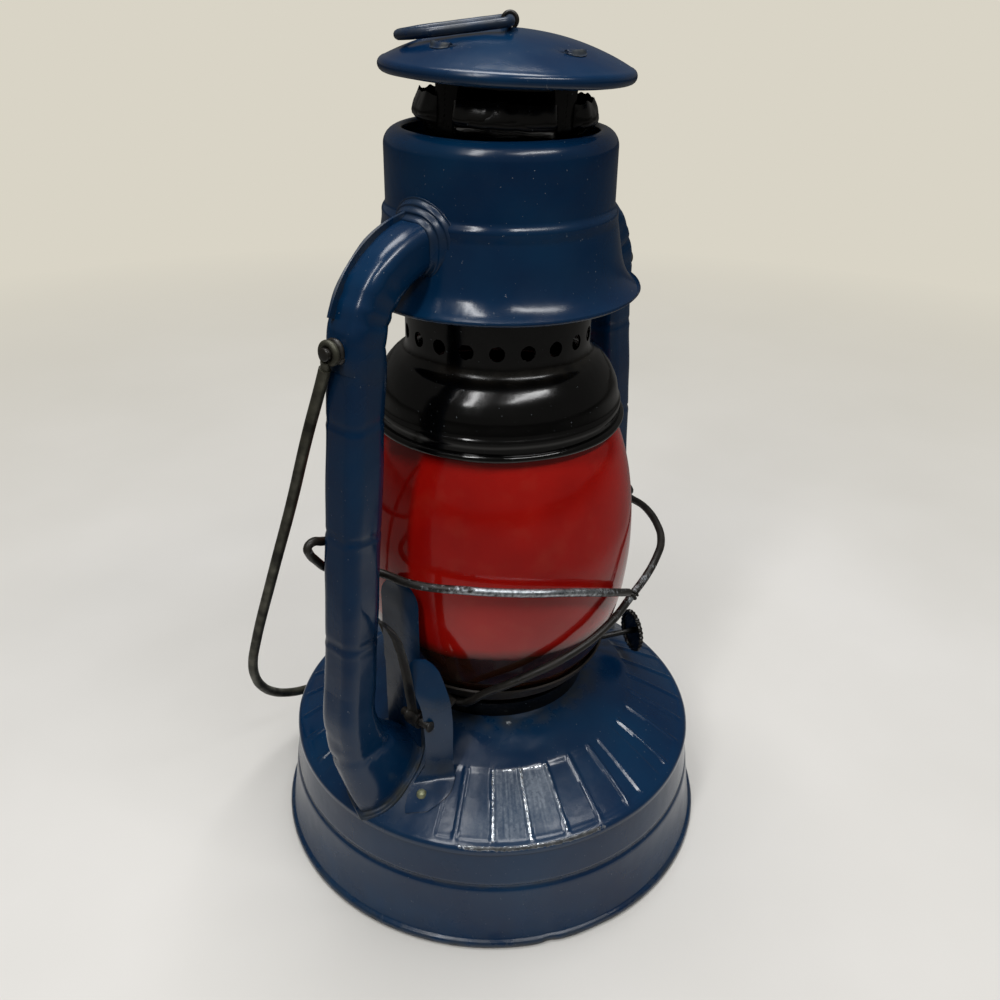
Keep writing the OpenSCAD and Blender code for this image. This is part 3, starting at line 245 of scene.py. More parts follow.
# Woven cotton, matt with ridges along the threads
wickCotton = makePlain("cotton_wick_woven", {
    "dark": "#a89a78", "light": "#e2d8bd", "patch": 3, "grain": 0.9, "depth": 0.3, "metal": 0.0,
    "rough": (0.95, 0.85), "stretch": (1, 1, 0.4)})
# Pressed cork, speckled and matt
pressedCork = makePlain("cork_washer_pressed", {
    "dark": "#5b3d24", "light": "#9c7448", "patch": 1.6, "grain": 0.8, "depth": 0.15, "metal": 0.0,
    "rough": (0.9, 0.8)})
print("materials made")


# Mesh helpers

def up(z):
    return Vector((0, 0, z))


def drift(x, y, z):
    # Slow noise from -1 to 1 on free coordinates
    return noise.noise(Vector((x, y, z)))


def softened(points, radius, steps=4):
    # The same line with each inner corner replaced by a small curve
    points = [Vector(p) for p in points]
    line = [points[0]]
    for before, corner, after in zip(points, points[1:], points[2:]):
        back, on = before - corner, after - corner
        a = corner + back.normalized() * min(radius, back.length * 0.45)
        b = corner + on.normalized() * min(radius, on.length * 0.45)
        for k in range(steps + 1):
            t = k / steps
            line.append((1 - t) ** 2 * a + 2 * t * (1 - t) * corner + t * t * b)
    return line + [points[-1]]


def walled(points, thickness):
    # Closed outline of a wall on the left of a line in the r, z plane
    points = [Vector(p) for p in points]
    other = []
    for i, p in enumerate(points):
        along = points[min(i + 1, len(points) - 1)] - points[max(i - 1, 0)]
        other.append(p + Vector((-along[1], along[0])).normalized() * thickness)
    return points + other[::-1]


def arcLine(centre, radius, first, last, steps=8):
    angles = [math.radians(first + (last - first) * k / steps) for k in range(steps + 1)]
    return [Vector((centre[0] + radius * math.cos(a), centre[1] + radius * math.sin(a))) for a in angles]


def spun(outline, steps=192):
    # Ring about Z from a closed outline in the r, z plane
    bm = bmesh.new()
    verts = [bm.verts.new((r, 0, z)) for r, z in outline]
    edges = [bm.edges.new(pair) for pair in zip(verts, verts[1:] + verts[:1])]
    bmesh.ops.spin(
        bm, geom=verts + edges, cent=(0, 0, 0), axis=(0, 0, 1), angle=math.tau, steps=steps, use_merge=True)
    return bm


def lofted(rings, caps=False, closed=True):
    # Skin through rings, or rows that aren't closed, of points with equal counts
    bm = bmesh.new()
    loops = []
    for ring in rings:
        verts = [bm.verts.new(p) for p in ring]
        loops.append([bm.edges.new(pair) for pair in zip(verts, verts[1:] + verts[:1] * closed)])
    for a, b in zip(loops, loops[1:]):
        bmesh.ops.bridge_loops(bm, edges=a + b)
    for loop in (loops[0], loops[-1]) if caps else ():
        bmesh.ops.contextual_create(bm, geom=loop)
    return bm


def wound(points, radius):
    # Round wire through points, closed at its ends
    data = bpy.data.curves.new("path", "CURVE")
    data.dimensions, data.resolution_u = "3D", 6
    data.bevel_depth, data.bevel_resolution, data.use_fill_caps = radius, 4, True
    line = data.splines.new("BEZIER")
    line.bezier_points.add(len(points) - 1)
    for knot, p in zip(line.bezier_points, points):
        knot.co = p
        knot.handle_left_type = knot.handle_right_type = "AUTO"
    holder = bpy.data.objects.new("path", data)
    mesh = bpy.data.meshes.new_from_object(holder)
    bm = bmesh.new()
    bm.from_mesh(mesh)
    bpy.data.objects.remove(holder)
    bpy.data.curves.remove(data)
    bpy.data.meshes.remove(mesh)
    return bm


def eased(bm, size):
    # Rounds the edges that lie flat
    rims = [e for e in bm.edges if abs(e.verts[0].co.z - e.verts[1].co.z) < 1e-6]
    bmesh.ops.bevel(bm, geom=rims, offset=size, affect="EDGES", segments=2, profile=0.5, material=-1)


def moved(bm, matrix):
    bmesh.ops.transform(bm, matrix=matrix, verts=bm.verts)
    return bm


def spin(angle, axis):
    return Matrix.Rotation(angle, 4, axis)


def sided(bm, side):
    # Made for the right side, turned half round for the left
    return moved(bm, spin(math.pi, "Z")) if side < 0 else bm


def rod(place, direction, radius, length, steps, ease):
    # Cylinder with eased edges that starts at place
    bm = bmesh.new()
    bmesh.ops.create_cone(
        bm, cap_ends=True, segments=steps, radius1=radius, radius2=radius, depth=length)
    if ease:
        eased(bm, ease)
    turn = Vector(direction).to_track_quat("Z", "Y").to_matrix().to_4x4()
    return moved(bm, Matrix.Translation(place) @ turn @ Matrix.Translation((0, 0, length / 2)))


def sheet(columns, rows, thickness, place):
    # Sheet of even cells, each point put where place says for x and y from -0.5 to 0.5
    bm = bmesh.new()
    bmesh.ops.create_grid(bm, x_segments=columns, y_segments=rows, size=0.5)
    for v in bm.verts:
        v.co = place(v.co.x, v.co.y)
    bmesh.ops.solidify(bm, geom=bm.faces, thickness=thickness)
    return bm


def asMesh(bm, name):
    mesh = bpy.data.meshes.new(name)
    bm.to_mesh(mesh)
    bm.free()
    return mesh


def joined(parts):
    whole = bmesh.new()
    for part in parts:
        mesh = asMesh(part, "part")
        whole.from_mesh(mesh)
        bpy.data.meshes.remove(mesh)
    return whole


def polar(r, azimuth, z):
    a = math.radians(azimuth)
    return Vector((r * math.cos(a), r * math.sin(a), z))


def radiusOf(p):
    return math.hypot(p[0], p[1])


def azimuthOf(p):
    return math.degrees(math.atan2(p[1], p[0])) % 360


def dented(bm, amount, size, seed=0.0, share=None):
    # Hand-made unevenness along the normals, where share says how much of it a point takes
    bm.normal_update()
    shift = Vector((seed, seed * 1.7, seed * 0.6))
    for v in bm.verts:
        v.co += v.normal * (noise.noise(v.co / size + shift) * amount * (share(v.co) if share else 1))


def painted(bm, mark, rule):
    # A vertex layer for the material: wear, which on the dome also holds painted highlights, grime, haze, or
    # painted shade for the cap's slots
    layer = bm.verts.layers.float.new(mark)
    for v in bm.verts:
        v[layer] = rule(v.co) if callable(rule) else rule


def bump(x, middle, width):
    return math.exp(-((x - middle) / width) ** 2)


def inMetres(bm):
    bmesh.ops.scale(bm, vec=(0.001, 0.001, 0.001), verts=bm.verts)


def finished(bm, name, body, material, slot, replaces, sharp=40, **marks):
    for mark, rule in marks.items():
        painted(bm, mark, rule)
    bmesh.ops.remove_doubles(bm, verts=bm.verts, dist=0.002)
    bmesh.ops.recalc_face_normals(bm, faces=bm.faces)
    inMetres(bm)
    mesh = asMesh(bm, name)
    mesh.polygons.foreach_set("use_smooth", [True] * len(mesh.polygons))
    mesh.set_sharp_from_angle(angle=math.radians(sharp))
    mesh.materials.append(material)
    piece = placed(name, mesh)
    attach(piece, body)
    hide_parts(*replaces)
    return piece


# Each look pairs a material with a slot name
blue, black, wire = (blueEnamel, "blue_enamel"), (blackEnamel, "black_enamel"), (wireEnamel, "dark_wire")

# Fount

fount = {
    "baseR": 82.5, "shoulderR": 76, "shoulderZ": 42, "topZ": 62.5, "topR": 35,
    "rollR": 1.6, "grooveZ": 25.5, "ribIn": 53, "ribOut": 73.6,
    "ribs": [a for a in range(21, 340, 10) if a not in (31, 41, 51, 61, 171, 181, 191, 201, 271)],
}


def domeZ(r):
    f = fount
    outward = max(r - f["topR"], 0) / (f["shoulderR"] - f["topR"])
    return f["topZ"] - (f["topZ"] - f["shoulderZ"]) * outward ** 1.2


def ribGap(azimuth):
    return min(abs((azimuth - a + 180) % 360 - 180) for a in fount["ribs"])


def panelled(p):
    # Height added to the dome: flat panels pressed in between ribs that stand proud
    f = fount
    r, azimuth = radiusOf(p), azimuthOf(p)
    gap = ribGap(azimuth)
    ends = 1 / (1 + math.exp(-(r - f["ribIn"]) / 0.35)) / (1 + math.exp((r - f["ribOut"]) / 0.35))
    rib = math.exp(-(gap * math.radians(1) * r / 0.85) ** 4)
    sunk = 1 if gap < 5.2 else 0
    return ends * (rib * 0.85 - 0.45 * sunk)


def ribLine(p):
    # Bare tin along the ribs, brightest on the front ones, plus painted highlights: bright tin along the
    # shoulder edge across the front and across the inner ends of the front panels
    f = fount
    r, azimuth = radiusOf(p), azimuthOf(p)
    inside = f["ribIn"] - 0.4 < r < f["ribOut"] + 0.4
    rib = math.exp(-(ribGap(azimuth) * math.radians(1) * r / 0.75) ** 2)
    front = 0.3 + 0.68 * bump(azimuth, 229, 18)
    patchy = 0.2 * drift(azimuth * 0.3, r * 0.22, 2)
    # Painted highlight: bright tin along the shoulder edge, strongest across the front
    lit = min(max(min(azimuth - 207, 256 - azimuth) / 8, 0), 1)
    edge = (p[2] > f["shoulderZ"] - 1) * bump(r, f["shoulderR"] - 0.2, 0.6) * (0.1 + 1.05 * lit)
    # Painted highlight: bright tin across the inner ends of the front panels
    head = bump(r, f["ribIn"], 0.5) * (0.85 if 224 < azimuth < 241 else 0)
    nick = 1.1 * bump(r, 37.5, 1.1) * bump(azimuth, 229.5, 2.6)
    return max(inside * rib * (front + patchy), edge, head, nick)


def panelHaze(p):
    # Paint worn thin on three panels at the front, in streaks that run up the dome
    f = fount
    r, azimuth = radiusOf(p), azimuthOf(p)
    if not (f["ribIn"] - 0.3 < r < f["ribOut"] + 0.3 and 211 < azimuth < 241):
        return 0.08 * bump(azimuth, 226, 30) * bump(r, 66, 9)
    streak = 0.75 + 0.5 * drift(azimuth * 1.9, r * 0.12, 7)
    if azimuth < 221:
        share = 0.16 + 0.3 * bump(r, 70, 3.4) * bump(azimuth, 218.5, 3)
    elif azimuth < 231:
        share = 0.64
    else:
        share = bump(r, 60, 10) * (0.75 + 0.25 * bump(azimuth, 236, 4))
    return share * streak


def makeFount(f):
    def skirtR(z):
        return f["baseR"] - 1.6 + (f["shoulderR"] - 0.5 - f["baseR"] + 1.6) * (z - 2.4) / (f["shoulderZ"] - 4)
    g = f["grooveZ"]
    roll = arcLine((f["baseR"] - f["rollR"], f["rollR"]), f["rollR"], 80, -185, 14)
    line = softened([
        (f["shoulderR"] - 0.45, f["shoulderZ"] - 1.6), (skirtR(g + 3), g + 3), (skirtR(g + 1.3), g + 1.3),
        (skirtR(g) - 0.55, g + 0.2), (skirtR(g) - 0.35, g - 0.6), (skirtR(g - 1.6) + 0.2, g - 1.6),
        (skirtR(g - 4) + 0.1, g - 4), (skirtR(3.6), 3.6)], 0.9, 3)
    skirt = spun(walled(line + roll, -0.7), 256)
    dented(skirt, 0.16, 26, 2)
    for v in skirt.verts:
        # A knock in the rolled rim at the front, and the slight wave it left beside it
        azimuth, low = azimuthOf(v.co), bump(v.co.z, 0.5, 3.5)
        push = 0.7 * bump(azimuth, 235.5, 1.7) + 0.25 * bump(azimuth, 249, 4)
        v.co.x, v.co.y = (c * (1 - low * push / f["baseR"]) for c in (v.co.x, v.co.y))
    finished(skirt, "skirt", "frame", *blue, ["fount_skirt"],
             wear=lambda p: 0.35 * bump(radiusOf(p), f["baseR"], 0.7)
             + 0.25 * bump(p[2], f["shoulderZ"] - 1, 1.2),
             grime=lambda p: 0.95 * bump(p[2], 0.6, 2.4) + 0.45 * bump(p[2], g, 0.9))

    top = [(f["shoulderR"] + 0.4, f["shoulderZ"] - 2.6), (f["shoulderR"] + 0.45, f["shoulderZ"] - 0.9)]
    radii = [f["shoulderR"] - 0.4, 75, 74.4, 74, 73.7, 73.4, 73, 72.4] + [72 - k * 1.1 for k in range(17)]
    radii += [53.8, 53.4, 53, 52.6, 52.2, 51.6, 50.5, 49] + list(range(47, 36, -2))
    top += [(r, domeZ(r)) for r in radii] + [(35, f["topZ"]), (31, f["topZ"]), (24, f["topZ"])]
    dome = spun(walled(softened(top[:3], 0.7, 4)[:-1] + top[2:], 0.8), 720)
    for v in dome.verts:
        v.co.z += panelled(v.co)
    dented(dome, 0.14, 18, 5)
    # On the dome this layer holds wear on the ribs and painted highlights along the shoulder and panel ends
    finished(dome, "dome", "frame", *blue, ["fount_dome"],
             wear=ribLine, haze=panelHaze,
             grime=lambda p: 0.7 * bump(radiusOf(p), 36, 4)
             + 0.45 * bump(azimuthOf(p), 190, 9) * bump(radiusOf(p), 60, 12))


makeFount(fount)
print("fount made")

# Side tubes, feet and collars

tube = {
    "depth": 14, "width": 15, "corner": 4.5, "topZ": 229.5, "elbowR": 27, "lean": 5.7, "legX": 61, "footZ": 92,
    "footHalfW": 12.5, "footTip": 75.4, "footSkew": 6.5, "footIn": 45, "footWide": 62, "bow": 9, "seamH": 2.1,
    "seamY": 2.7, "crimps": (183.5, 148.5, 111.5),
}


def legTop():
    t, lean = tube, math.radians(tube["lean"])
    centre = Vector((t["legX"] - t["elbowR"], t["topZ"] - t["elbowR"]))
    return centre, centre + t["elbowR"] * Vector((math.cos(lean), -math.sin(lean)))


def legMid(z):
    top = legTop()[1]
    return top[0] + (top[1] - z) * math.tan(math.radians(tube["lean"]))


def runPath():
    # Middle line of the leg and elbow in the x, z plane with the outward direction at each point
    t, (centre, top) = tube, legTop()
    low = Vector((legMid(t["footZ"]), t["footZ"]))
    lean, legSteps, bendSteps = math.radians(t["lean"]), 90, 30
    path = [(low.lerp(top, k / legSteps), Vector((math.cos(lean), math.sin(lean)))) for k in range(legSteps)]
    for k in range(bendSteps + 1):
        a = -lean + (math.pi / 2 + lean) * k / bendSteps
        out = Vector((math.cos(a), math.sin(a)))
        path.append((centre + t["elbowR"] * out, out))
    return path


def roundBox(width, depth, corner):
    # Outline of a rounded box, x along its depth and y along its width
    line = []
    for sx, sy, start in ((1, 1, 0), (-1, 1, 90), (-1, -1, 180), (1, -1, 270)):
        middle = (sx * (depth / 2 - corner), sy * (width / 2 - corner))
        line += arcLine(middle, corner, start, start + 90, 10)
    return line


def boxReach(width, depth, corner, u):
    # Where a ray at angle u leaves a rounded box, x along its depth and y along its width
    way = Vector((math.cos(u), math.sin(u)))
    flat = Vector((abs(way[0]), abs(way[1])))
    half = Vector((depth / 2, width / 2))
    t = min(half[i] / max(flat[i], 1e-9) for i in (0, 1))
    middle = half - Vector((corner, corner))
    if flat[0] * t > middle[0] and flat[1] * t > middle[1]:
        d = flat.dot(middle)
        t = d + math.sqrt(d * d - middle.length_squared + corner ** 2)
    return way * t


def nearJoint(p):
    # Dents fade out where tube and foot meet
    return min(abs(p[2] - tube["footZ"]) / 9, 1)


def makeTube(t, side, name):
    section = roundBox(t["width"], t["depth"], t["corner"])
    path = runPath()
    bm = lofted([[(p[0] + x * out[0], y, p[1] + x * out[1]) for x, y in section] for p, out in path])
    bm.normal_update()
    elbow = legTop()[0]
    for v in bm.verts:
        x, y, z = v.co
        angle = math.degrees(math.atan2(z - elbow[1], x - elbow[0]))
        crease = 0
        if z > elbow[1] - 12 and x > elbow[0]:
            for at, depth in ((8, 0.6), (22, 0.8), (33, 0.7), (47, 0.5)):
                crease += depth * bump(angle, at + 6 * drift(0, y / 6, at), 1.9) * (
                    0.5 + 0.6 * drift(y / 5, at, 1))
        for at in t["crimps"]:
            lift = 1.4 * drift(y / 4, x / 9, at)
            crease += 0.4 * bump(z, at + lift, 0.6) - 0.12 * bump(z, at - 1.8 + lift, 0.9)
        v.co -= v.normal * crease
    dented(bm, 0.45, 17, 3 + side, nearJoint)
    back, crest = t["depth"] / 2 - 0.6, t["depth"] / 2 + t["seamH"]
    ridge = [(back, -0.6), (crest - 0.3, -0.5), (crest, 0), (crest - 0.3, 0.5), (back, 0.6)]
    seam = lofted([[(p[0] + d * out[0], y + t["seamY"] * side, p[1] + d * out[1]) for d, y in ridge]
                   for p, out in path if out[1] > 0.31], True)
    dented(seam, 0.3, 7, 8)
    painted(bm, "wear", lambda p: 0.2 * bump(p[2], 206, 7))
    painted(bm, "grime", lambda p: 0.3 * bump(p[2], 200, 4))
    painted(seam, "wear", 0.12)
    painted(seam, "grime", 0.55)
    whole = sided(joined([bm, seam]), side)
    finished(whole, name + "Tube", "frame", *blue, [name + "_tube"])


def footRing(s, grow=0.0, count=72):
    t, lean = tube, math.radians(tube["lean"])
    ring = []
    for k in range(count):
        u = math.tau * k / count
        c, w = math.cos(u), math.sin(u)
        a = boxReach(t["width"], t["depth"], t["corner"], u)
        reach = t["footTip"] - t["footWide"] if c > 0 else t["footWide"] - t["footIn"]
        y = t["footHalfW"] * (math.copysign(abs(w) ** 1.8, w) if c > 0 else w)
        b = Vector((t["footWide"] + reach * c, y + t["footSkew"] * max(c, 0) ** 1.5))
        b += (b - Vector((t["footWide"], 0))).normalized() * grow
        top = Vector((legMid(t["footZ"]) + a[0] * math.cos(lean), a[1], t["footZ"] + a[0] * math.sin(lean)))
        low = Vector((b[0], b[1], domeZ(b.length)))
        f = s ** 2.2
        ring.append(Vector((
            top[0] + (low[0] - top[0]) * f + t["bow"] * s * (1 - s), top[1] + (low[1] - top[1]) * f,
            top[2] + (low[2] - top[2]) * s)))
    return ring


def makeFoot(side, name):
    levels = 26
    rings = [footRing(k / levels) for k in range(levels)]
    for grow, lift in ((0, 0.9), (0.4, 0.5), (1.0, 0.55), (1.4, 0.75), (1.8, 0.75), (2.0, 0.5), (2.0, 0.05)):
        rings.append([p + up(lift) for p in footRing(1, grow)])
    bm = lofted(rings)
    bm.normal_update()
    for v in bm.verts:
        x, y, z = v.co
        v.co -= v.normal * (0.8 * bump(z, 66 + 0.25 * y, 1.1) * (x > 62) + 0.3 * bump(z, 74 - 0.3 * y, 1))
    dented(bm, 0.4, 11, 6 + side, nearJoint)
    finished(sided(bm, side), name + "Foot", "frame", *blue, [name + "_tube_foot"],
             wear=lambda p: 0.3 * bump(p[2] - domeZ(radiusOf(p)), 1.2, 0.6),
             grime=lambda p: 0.95 * bump(p[2] - domeZ(radiusOf(p)), 0.6, 1.6))


canopy = {
    "sideR": 34.8, "topZ": 257.6, "openR": 29, "lipR": 44.5, "lipZ": 210.5, "beadZ": 234, "round": 4.8,
}


def makeCollar(t, c, side, name):
    # Stamped flange on the canopy wall with ridges round the tube
    rings = []
    for s in [i / 24 for i in range(25)]:
        rise = 0.25 + 4.2 * (1 - s) ** 1.15 + 0.42 * math.cos(math.tau * 3 * s) * (1 - 0.4 * s)
        ring = []
        for k in range(64):
            u = math.tau * k / 64
            inner = boxReach(t["width"] + 0.5, t["depth"] + 0.5, t["corner"] + 0.4, u)
            p = inner.lerp(Vector((math.cos(u), math.sin(u))) * 12.7, s ** 0.8)
            ring.append((math.sqrt(c["sideR"] ** 2 - p[1] ** 2) + rise, p[1], t["topZ"] + p[0] - 0.12 * rise))
        rings.append(ring)
    bm = lofted(rings)
    dented(bm, 0.4, 6, 4)
    piece = finished(sided(bm, side), name + "Collar", "frame", *blue,
                     [name + "_tube_collar"], 60, wear=0.32, grime=0.3)
    wall = piece.modifiers.new("wall", "SOLIDIFY")
    wall.thickness, wall.offset = 0.0006, -1


sides = ((-1, "left"), (1, "right"))
for side, name in sides:
    makeTube(tube, side, name)
    makeFoot(side, name)
    makeCollar(tube, canopy, side, name)
print("tubes made")


# Canopy

def makeCanopy(c):
    flareZ = c["beadZ"] - 1.4
    flare = [(c["sideR"] + 1 + (c["lipR"] - c["sideR"] - 1.6) * (0.48 * t + 0.52 * t ** 6),
              flareZ + (c["lipZ"] + 0.9 - flareZ) * t) for t in [k / 20 for k in range(21)]]
    line = [(c["openR"], c["topZ"] - 3), (c["openR"] + 0.1, c["topZ"] - 1.2)]
    line += arcLine((c["openR"] + 1.1, c["topZ"] - 1), 1, 170, 90, 5)
    line += arcLine((c["sideR"] - c["round"], c["topZ"] - c["round"]), c["round"], 84, 0, 10)
    line += softened([
        (c["sideR"], c["topZ"] - 8), (c["sideR"], c["beadZ"] + 2.2), (c["sideR"] + 1.15, c["beadZ"] + 0.6),
        (c["sideR"] + 1.1, c["beadZ"] - 0.8)] + flare[1:], 0.8, 3)
    line += arcLine((c["lipR"] - 0.9, c["lipZ"] + 0.9), 0.9, 40, -190, 10)
    bm = spun(walled(line, -0.7), 256)
    dented(bm, 0.3, 24, 11)
    finished(bm, "canopyShell", "frame", *blue, ["canopy"],
             wear=lambda p: 0.25 * bump(p[2], c["topZ"], 0.8) + 0.3 * bump(radiusOf(p), c["lipR"], 0.6),
             grime=lambda p: 0.3 * bump(p[2], c["lipZ"], 0.8) + 0.2 * bump(p[2], c["beadZ"] - 2, 1))


makeCanopy(canopy)

# Bell, chimney, crown and cap

bell = {
    "neckR": 30, "rimR": 42.5, "rimZ": 167.3, "topZ": 216, "holeZ": 197.6, "holes": 20, "holeR": 2.4,
    "rollR": 1.3, "mouthR": 23.0, "front": 220,
}


def makeBell(b):
    n = b["neckR"]
    line = [(b["mouthR"], b["topZ"])] + arcLine((n - 2, b["topZ"] - 2), 2, 90, 0, 6)
    line += softened([
        (n, 206), (n, 192.4), (n + 0.9, 190), (n + 4.2, 188.2), (n + 7.2, 184.6), (n + 9.4, 180.2),
        (n + 10.1, 176.2), (n + 10.4, 174.8), (n + 11.1, 173.9), (n + 11.1, 172.6), (n + 10.8, 171.4),
        (n + 10.9, 169.4)], 1.6, 4)
    line += arcLine((b["rimR"] - b["rollR"], b["rimZ"] + b["rollR"]), b["rollR"], 110, -180, 14)
    bm = spun(walled(line, -0.7), 240)
    dented(bm, 0.22, 16, 7)
    piece = finished(bm, "bellShell", "chimney", *black, ["bell"],
                     grime=lambda p: 0.35 * bump(p[2], 191, 1.6) + 0.2 * bump(p[2], 167, 1))
    drills = []
    for k in range(b["holes"]):
        azimuth = b["front"] + k * 360 / b["holes"]
        drill = rod(polar(n - 4, azimuth, b["holeZ"]), polar(1, azimuth, 0), b["holeR"], 8, 14, 0)
        for v in drill.verts:
            v.co.z += 0.35 * noise.noise((v.co - up(b["holeZ"])) * 0.9)
        drills.append(drill)
    drills = joined(drills)
    inMetres(drills)
    bmesh.ops.recalc_face_normals(drills, faces=drills.faces)
    mesh = asMesh(drills, "drills")
    cutter = placed("drills", mesh)
    cut = piece.modifiers.new("holes", "BOOLEAN")
    cut.operation, cut.solver, cut.object = "DIFFERENCE", "EXACT", cutter
    applied(piece)
    bpy.data.objects.remove(cutter)
    bpy.data.meshes.remove(mesh)
    piece.data.set_sharp_from_angle(angle=math.radians(40))


def applied(piece):
    # Swaps the piece's mesh for the one its modifiers make
    graph = bpy.context.evaluated_depsgraph_get()
    mesh = bpy.data.meshes.new_from_object(piece.evaluated_get(graph))
    old = piece.data
    mesh.name = old.name + "Cut"
    piece.modifiers.clear()
    piece.data = mesh
    bpy.data.meshes.remove(old)


makeBell(bell)

cap = {
    "r": 37.1, "rimZ": 273, "rise": 8.6, "rollR": 2, "edgeR": 35.4, "lean": 2, "leanZ": 228.6, "leanTo": 310,
    "slotR": 24.6, "tabW": 7.8, "tabLen": 3.3, "crownR": 23.8, "lip": 3.2, "windows": (262.4, 269.4),
    "front": 220, "ringAz": 130, "ringDrop": 9.5, "ringLen": 31.6, "ringW": 24, "ringWire": 1.4,
}
capBallR = (cap["edgeR"] ** 2 + cap["rise"] ** 2) / (2 * cap["rise"])
capTopZ = cap["rimZ"] + cap["rollR"] + cap["rise"]
capBallZ = capTopZ - capBallR
eyeZ = capTopZ + cap["ringWire"] + 0.4


def leaned(bm):
    axis = up(1).cross(polar(1, cap["leanTo"], 0))
    middle = up(cap["leanZ"])
    turn = spin(math.radians(cap["lean"]), axis)
    return moved(bm, Matrix.Translation(middle) @ turn @ Matrix.Translation(-middle))


def capZ(r):
    return capBallZ + math.sqrt(capBallR ** 2 - r * r)


def makeCap(c):
    radii = [k * 1.5 for k in range(1, 16)] + [23.6, 24, 24.3, 24.6, 24.9, 25.2, 25.8]
    radii += [27 + k * 1.25 for k in range(7)]
    line = [(0.01, capZ(0))] + [(r, capZ(r)) for r in radii]
    line += arcLine((c["r"] - c["rollR"], c["rimZ"]), c["rollR"], 80, -200, 16)
    bm = spun(walled(line, -0.7), 288)
    bmesh.ops.remove_doubles(bm, verts=bm.verts, dist=0.02)
    dented(bm, 0.22, 17, 9)

    def slotDepth(p):
        # A narrow slot where each crown strap comes through, with the sheet drawn down a little beside it
        r, off = radiusOf(p), (azimuthOf(p) - c["front"] + 45) % 90
        off = min(off, 90 - off)
        across = math.radians(off) * r
        slot = bump(r, c["slotR"], 0.35) / (1 + math.exp((across - 4.4) * 5))
        return slot, bump(r, c["slotR"], 2.4) * bump(across, 0, 5)
    for v in bm.verts:
        if v.co.z > c["rimZ"] + 2:
            slot, dip = slotDepth(v.co)
            v.co.z -= 0.5 * slot + 0.25 * dip
    painted(bm, "wear", lambda p: 0.42 * bump(radiusOf(p), c["r"] - 0.4, 0.8) * (0.4 + 0.6 * bump(
        azimuthOf(p), 235, 30)))
    painted(bm, "grime", lambda p: 0.3 * bump(radiusOf(p), 6, 8) + 0.7 * slotDepth(p)[1])
    # Painted shade: the slots are laid near black, as the dark inside of the crown shows through them
    painted(bm, "slot_shade", lambda p: slotDepth(p)[0] if p[2] > c["rimZ"] + 2 else 0)
    finished(leaned(bm), "capShell", "chimney", *blue, ["cap"])

    tabs = []
    seat = Matrix.Translation((c["slotR"], 0, capZ(c["slotR"]) - 0.1))
    seat = seat @ spin(math.asin(c["slotR"] / capBallR), "Y")
    for k in range(4):
        def onTab(x, y):
            x, y = x + 0.5, y * 2
            reach = c["tabLen"] * (1 - 0.5 * y * y) * (1 + 0.12 * drift(y * 2, k, 1))
            lift = 0.75 * math.sin(math.pi * min(x * 1.1 + 0.12, 1)) + 0.15 * drift(x * 2, y * 2, k)
            return 0.15 + x * reach, y * c["tabW"] / 2 * (1 - 0.06 * x), lift + 0.12
        tab = sheet(10, 14, 0.35, onTab)
        tabs.append(moved(tab, spin(math.radians(c["front"] + 45 + k * 90), "Z") @ seat))
    finished(leaned(joined(tabs)), "strapEnds", "chimney", *blue, ["cap_tabs"], 60,
             wear=0.2, grime=0.85)


makeCap(cap)


def makeCrown(c):
    # Band with four windows; the sheet cut from each is bent out below it as a rounded lip with a torn top edge
    r, (low, high) = c["crownR"], c["windows"]
    profile = [(258.3, 0.1), (259.1, 0.45), (259.9, 0.8), (260.7, 1), (261.8, 1.04), (263, 0.97), (264.2, 0.84),
               (265.4, 0.66), (266.4, 0.5)]
    last = len(profile) - 1
    lips, straps = [], []
    for k in range(4):
        def onLip(x, y):
            row, across = round((y + 0.5) * last), x * 2
            z, out = profile[row]
            ends = math.sin(max(1 - max(abs(across) - 0.8, 0) / 0.2, 0) * math.pi / 2)
            torn = (row / last) ** 3 * drift(across * 5, k * 3.1, 1) * 1.3
            azimuth = c["front"] + k * 90 + across * 37
            return polar(r + 0.1 + c["lip"] * out * ends, azimuth, z + torn - 0.5 * (1 - ends))

        def onStrap(x, y):
            z = 257 + (y + 0.5) * (capZ(r) - 257.8)
            return polar(r - 0.05, c["front"] + 45 + k * 90 + x * (24 - 3 * bump(z, 267, 3)), z)
        lips.append(sheet(48, last, 0.6, onLip))
        dented(lips[k], 0.25, 3.2, k)
        straps.append(sheet(12, 16, 0.7, onStrap))
    band = spun(walled([(r - 0.9, 249.6), (r - 0.9, 256), (r - 0.9, low)], 0.7), 160)
    top = spun(walled([(r - 0.8, high), (r - 0.8, capZ(r) - 1.2)], 0.7), 160)
    bm = leaned(joined([band, top] + lips + straps))
    finished(bm, "crownBand", "chimney", *black, ["crown"], 50,
             wear=lambda p: 0.12 * bump(radiusOf(p), r + c["lip"], 0.8), grime=0.1)


makeCrown(cap)


